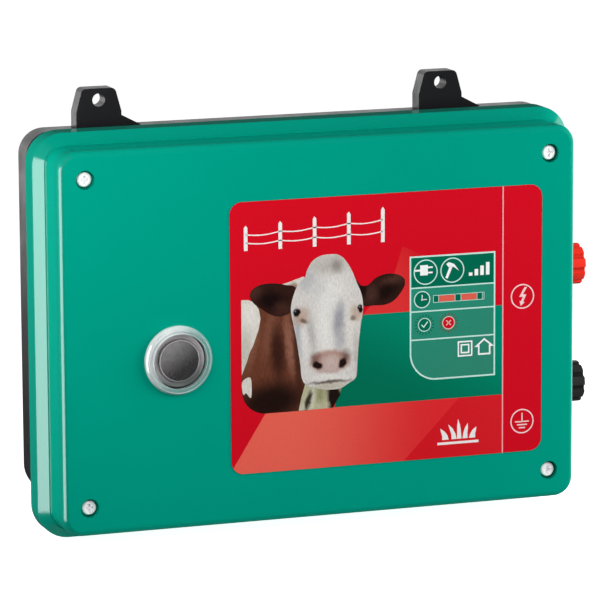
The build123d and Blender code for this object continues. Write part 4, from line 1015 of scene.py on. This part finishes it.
# extra light on the black housing, and on the knobs and screws
HOUSING = [nodes[name] for name in ("rear_housing", "cover_gasket")]
only_on(softbox("rim_housing", 165, 22, 0.80, 1.1, 0.55, 1.1), HOUSING)
only_on(softbox("rim_housing_side", -161, 4, 0.80, 0.40, 0.30, 1.9), HOUSING)
FITTINGS = ("fence_knob", "earth_knob", "fence_clamp_washer", "earth_clamp_washer", "contact_washers",
            "cover_screws")
knob_fill = softbox("knob_fill", 15, 15, 0.60, 0.30, 0.30, 2.7)
knob_fill.visible_glossy = False
only_on(knob_fill, [nodes[name] for name in FITTINGS])

AMBIENT = 0.13                             # what lights the object from all round
GLOSS_FRONT, GLOSS_BEHIND = 0.01, 0.03     # what the object mirrors, ahead of it and behind it
world = bpy.data.worlds.new("studio")
bpy.context.scene.world = world
world.use_nodes = True
tree = world.node_tree
tree.nodes.clear()


def backdrop(strength):
    node = tree.nodes.new("ShaderNodeBackground")
    node.inputs["Strength"].default_value = strength
    return node


def chosen(share, first, second):
    node = tree.nodes.new("ShaderNodeMixShader")
    tree.links.new(share, node.inputs[0])
    tree.links.new(first.outputs[0], node.inputs[1])
    tree.links.new(second.outputs[0], node.inputs[2])
    return node


path = tree.nodes.new("ShaderNodeLightPath")
direction = tree.nodes.new("ShaderNodeTexCoord")
split = tree.nodes.new("ShaderNodeSeparateXYZ")
behind = tree.nodes.new("ShaderNodeMapRange")
for socket, value in zip(list(behind.inputs)[1:5], (-0.3, 0.6, GLOSS_FRONT, GLOSS_BEHIND)):
    socket.default_value = value
mirrored = backdrop(1.0)
tree.links.new(direction.outputs["Generated"], split.inputs[0])
tree.links.new(split.outputs["Y"], behind.inputs[0])
tree.links.new(behind.outputs[0], mirrored.inputs["Strength"])
lighting = chosen(path.outputs["Is Glossy Ray"], backdrop(AMBIENT), mirrored)
whole = chosen(path.outputs["Is Camera Ray"], lighting, backdrop(1.0))
for node in tree.nodes:
    if node.bl_idname == "ShaderNodeBackground":
        node.inputs["Color"].default_value = (1, 1, 1, 1)
out = tree.nodes.new("ShaderNodeOutputWorld")
tree.links.new(whole.outputs[0], out.inputs["Surface"])

# the camera stands left of and above the panel, and aims a little beside its middle
AZIMUTH, ELEVATION, ROLL = math.radians(-19.54), math.radians(10.90), math.radians(0.32)
DISTANCE = 2.011                           # metres from the panel's middle
FOCAL, SENSOR = 257.0, 36.0                # millimetres
AIM_LEFT, AIM_UP = 0.0107, 0.0136          # metres
back = Vector((math.sin(AZIMUTH) * math.cos(ELEVATION), -math.cos(AZIMUTH) * math.cos(ELEVATION),
               math.sin(ELEVATION)))
eye = panel + back * DISTANCE
right = Vector((0, 0, 1)).cross(back).normalized()
up = back.cross(right)
aim = panel - right * AIM_LEFT + up * AIM_UP
camera_data = bpy.data.cameras.new("camera")
camera_data.sensor_width = SENSOR
camera_data.lens = FOCAL
camera_data.clip_start, camera_data.clip_end = 0.05, 50.0
camera = bpy.data.objects.new("camera", camera_data)
facing = (aim - eye).to_track_quat("-Z", "Y").to_matrix() @ Matrix.Rotation(-ROLL, 3, "Z")
camera.matrix_world = Matrix.Translation(eye) @ facing.to_4x4()
bpy.context.scene.collection.objects.link(camera)
bpy.context.scene.camera = camera

scene = bpy.context.scene
scene.view_settings.view_transform = "Standard"
scene.view_settings.look = "None"
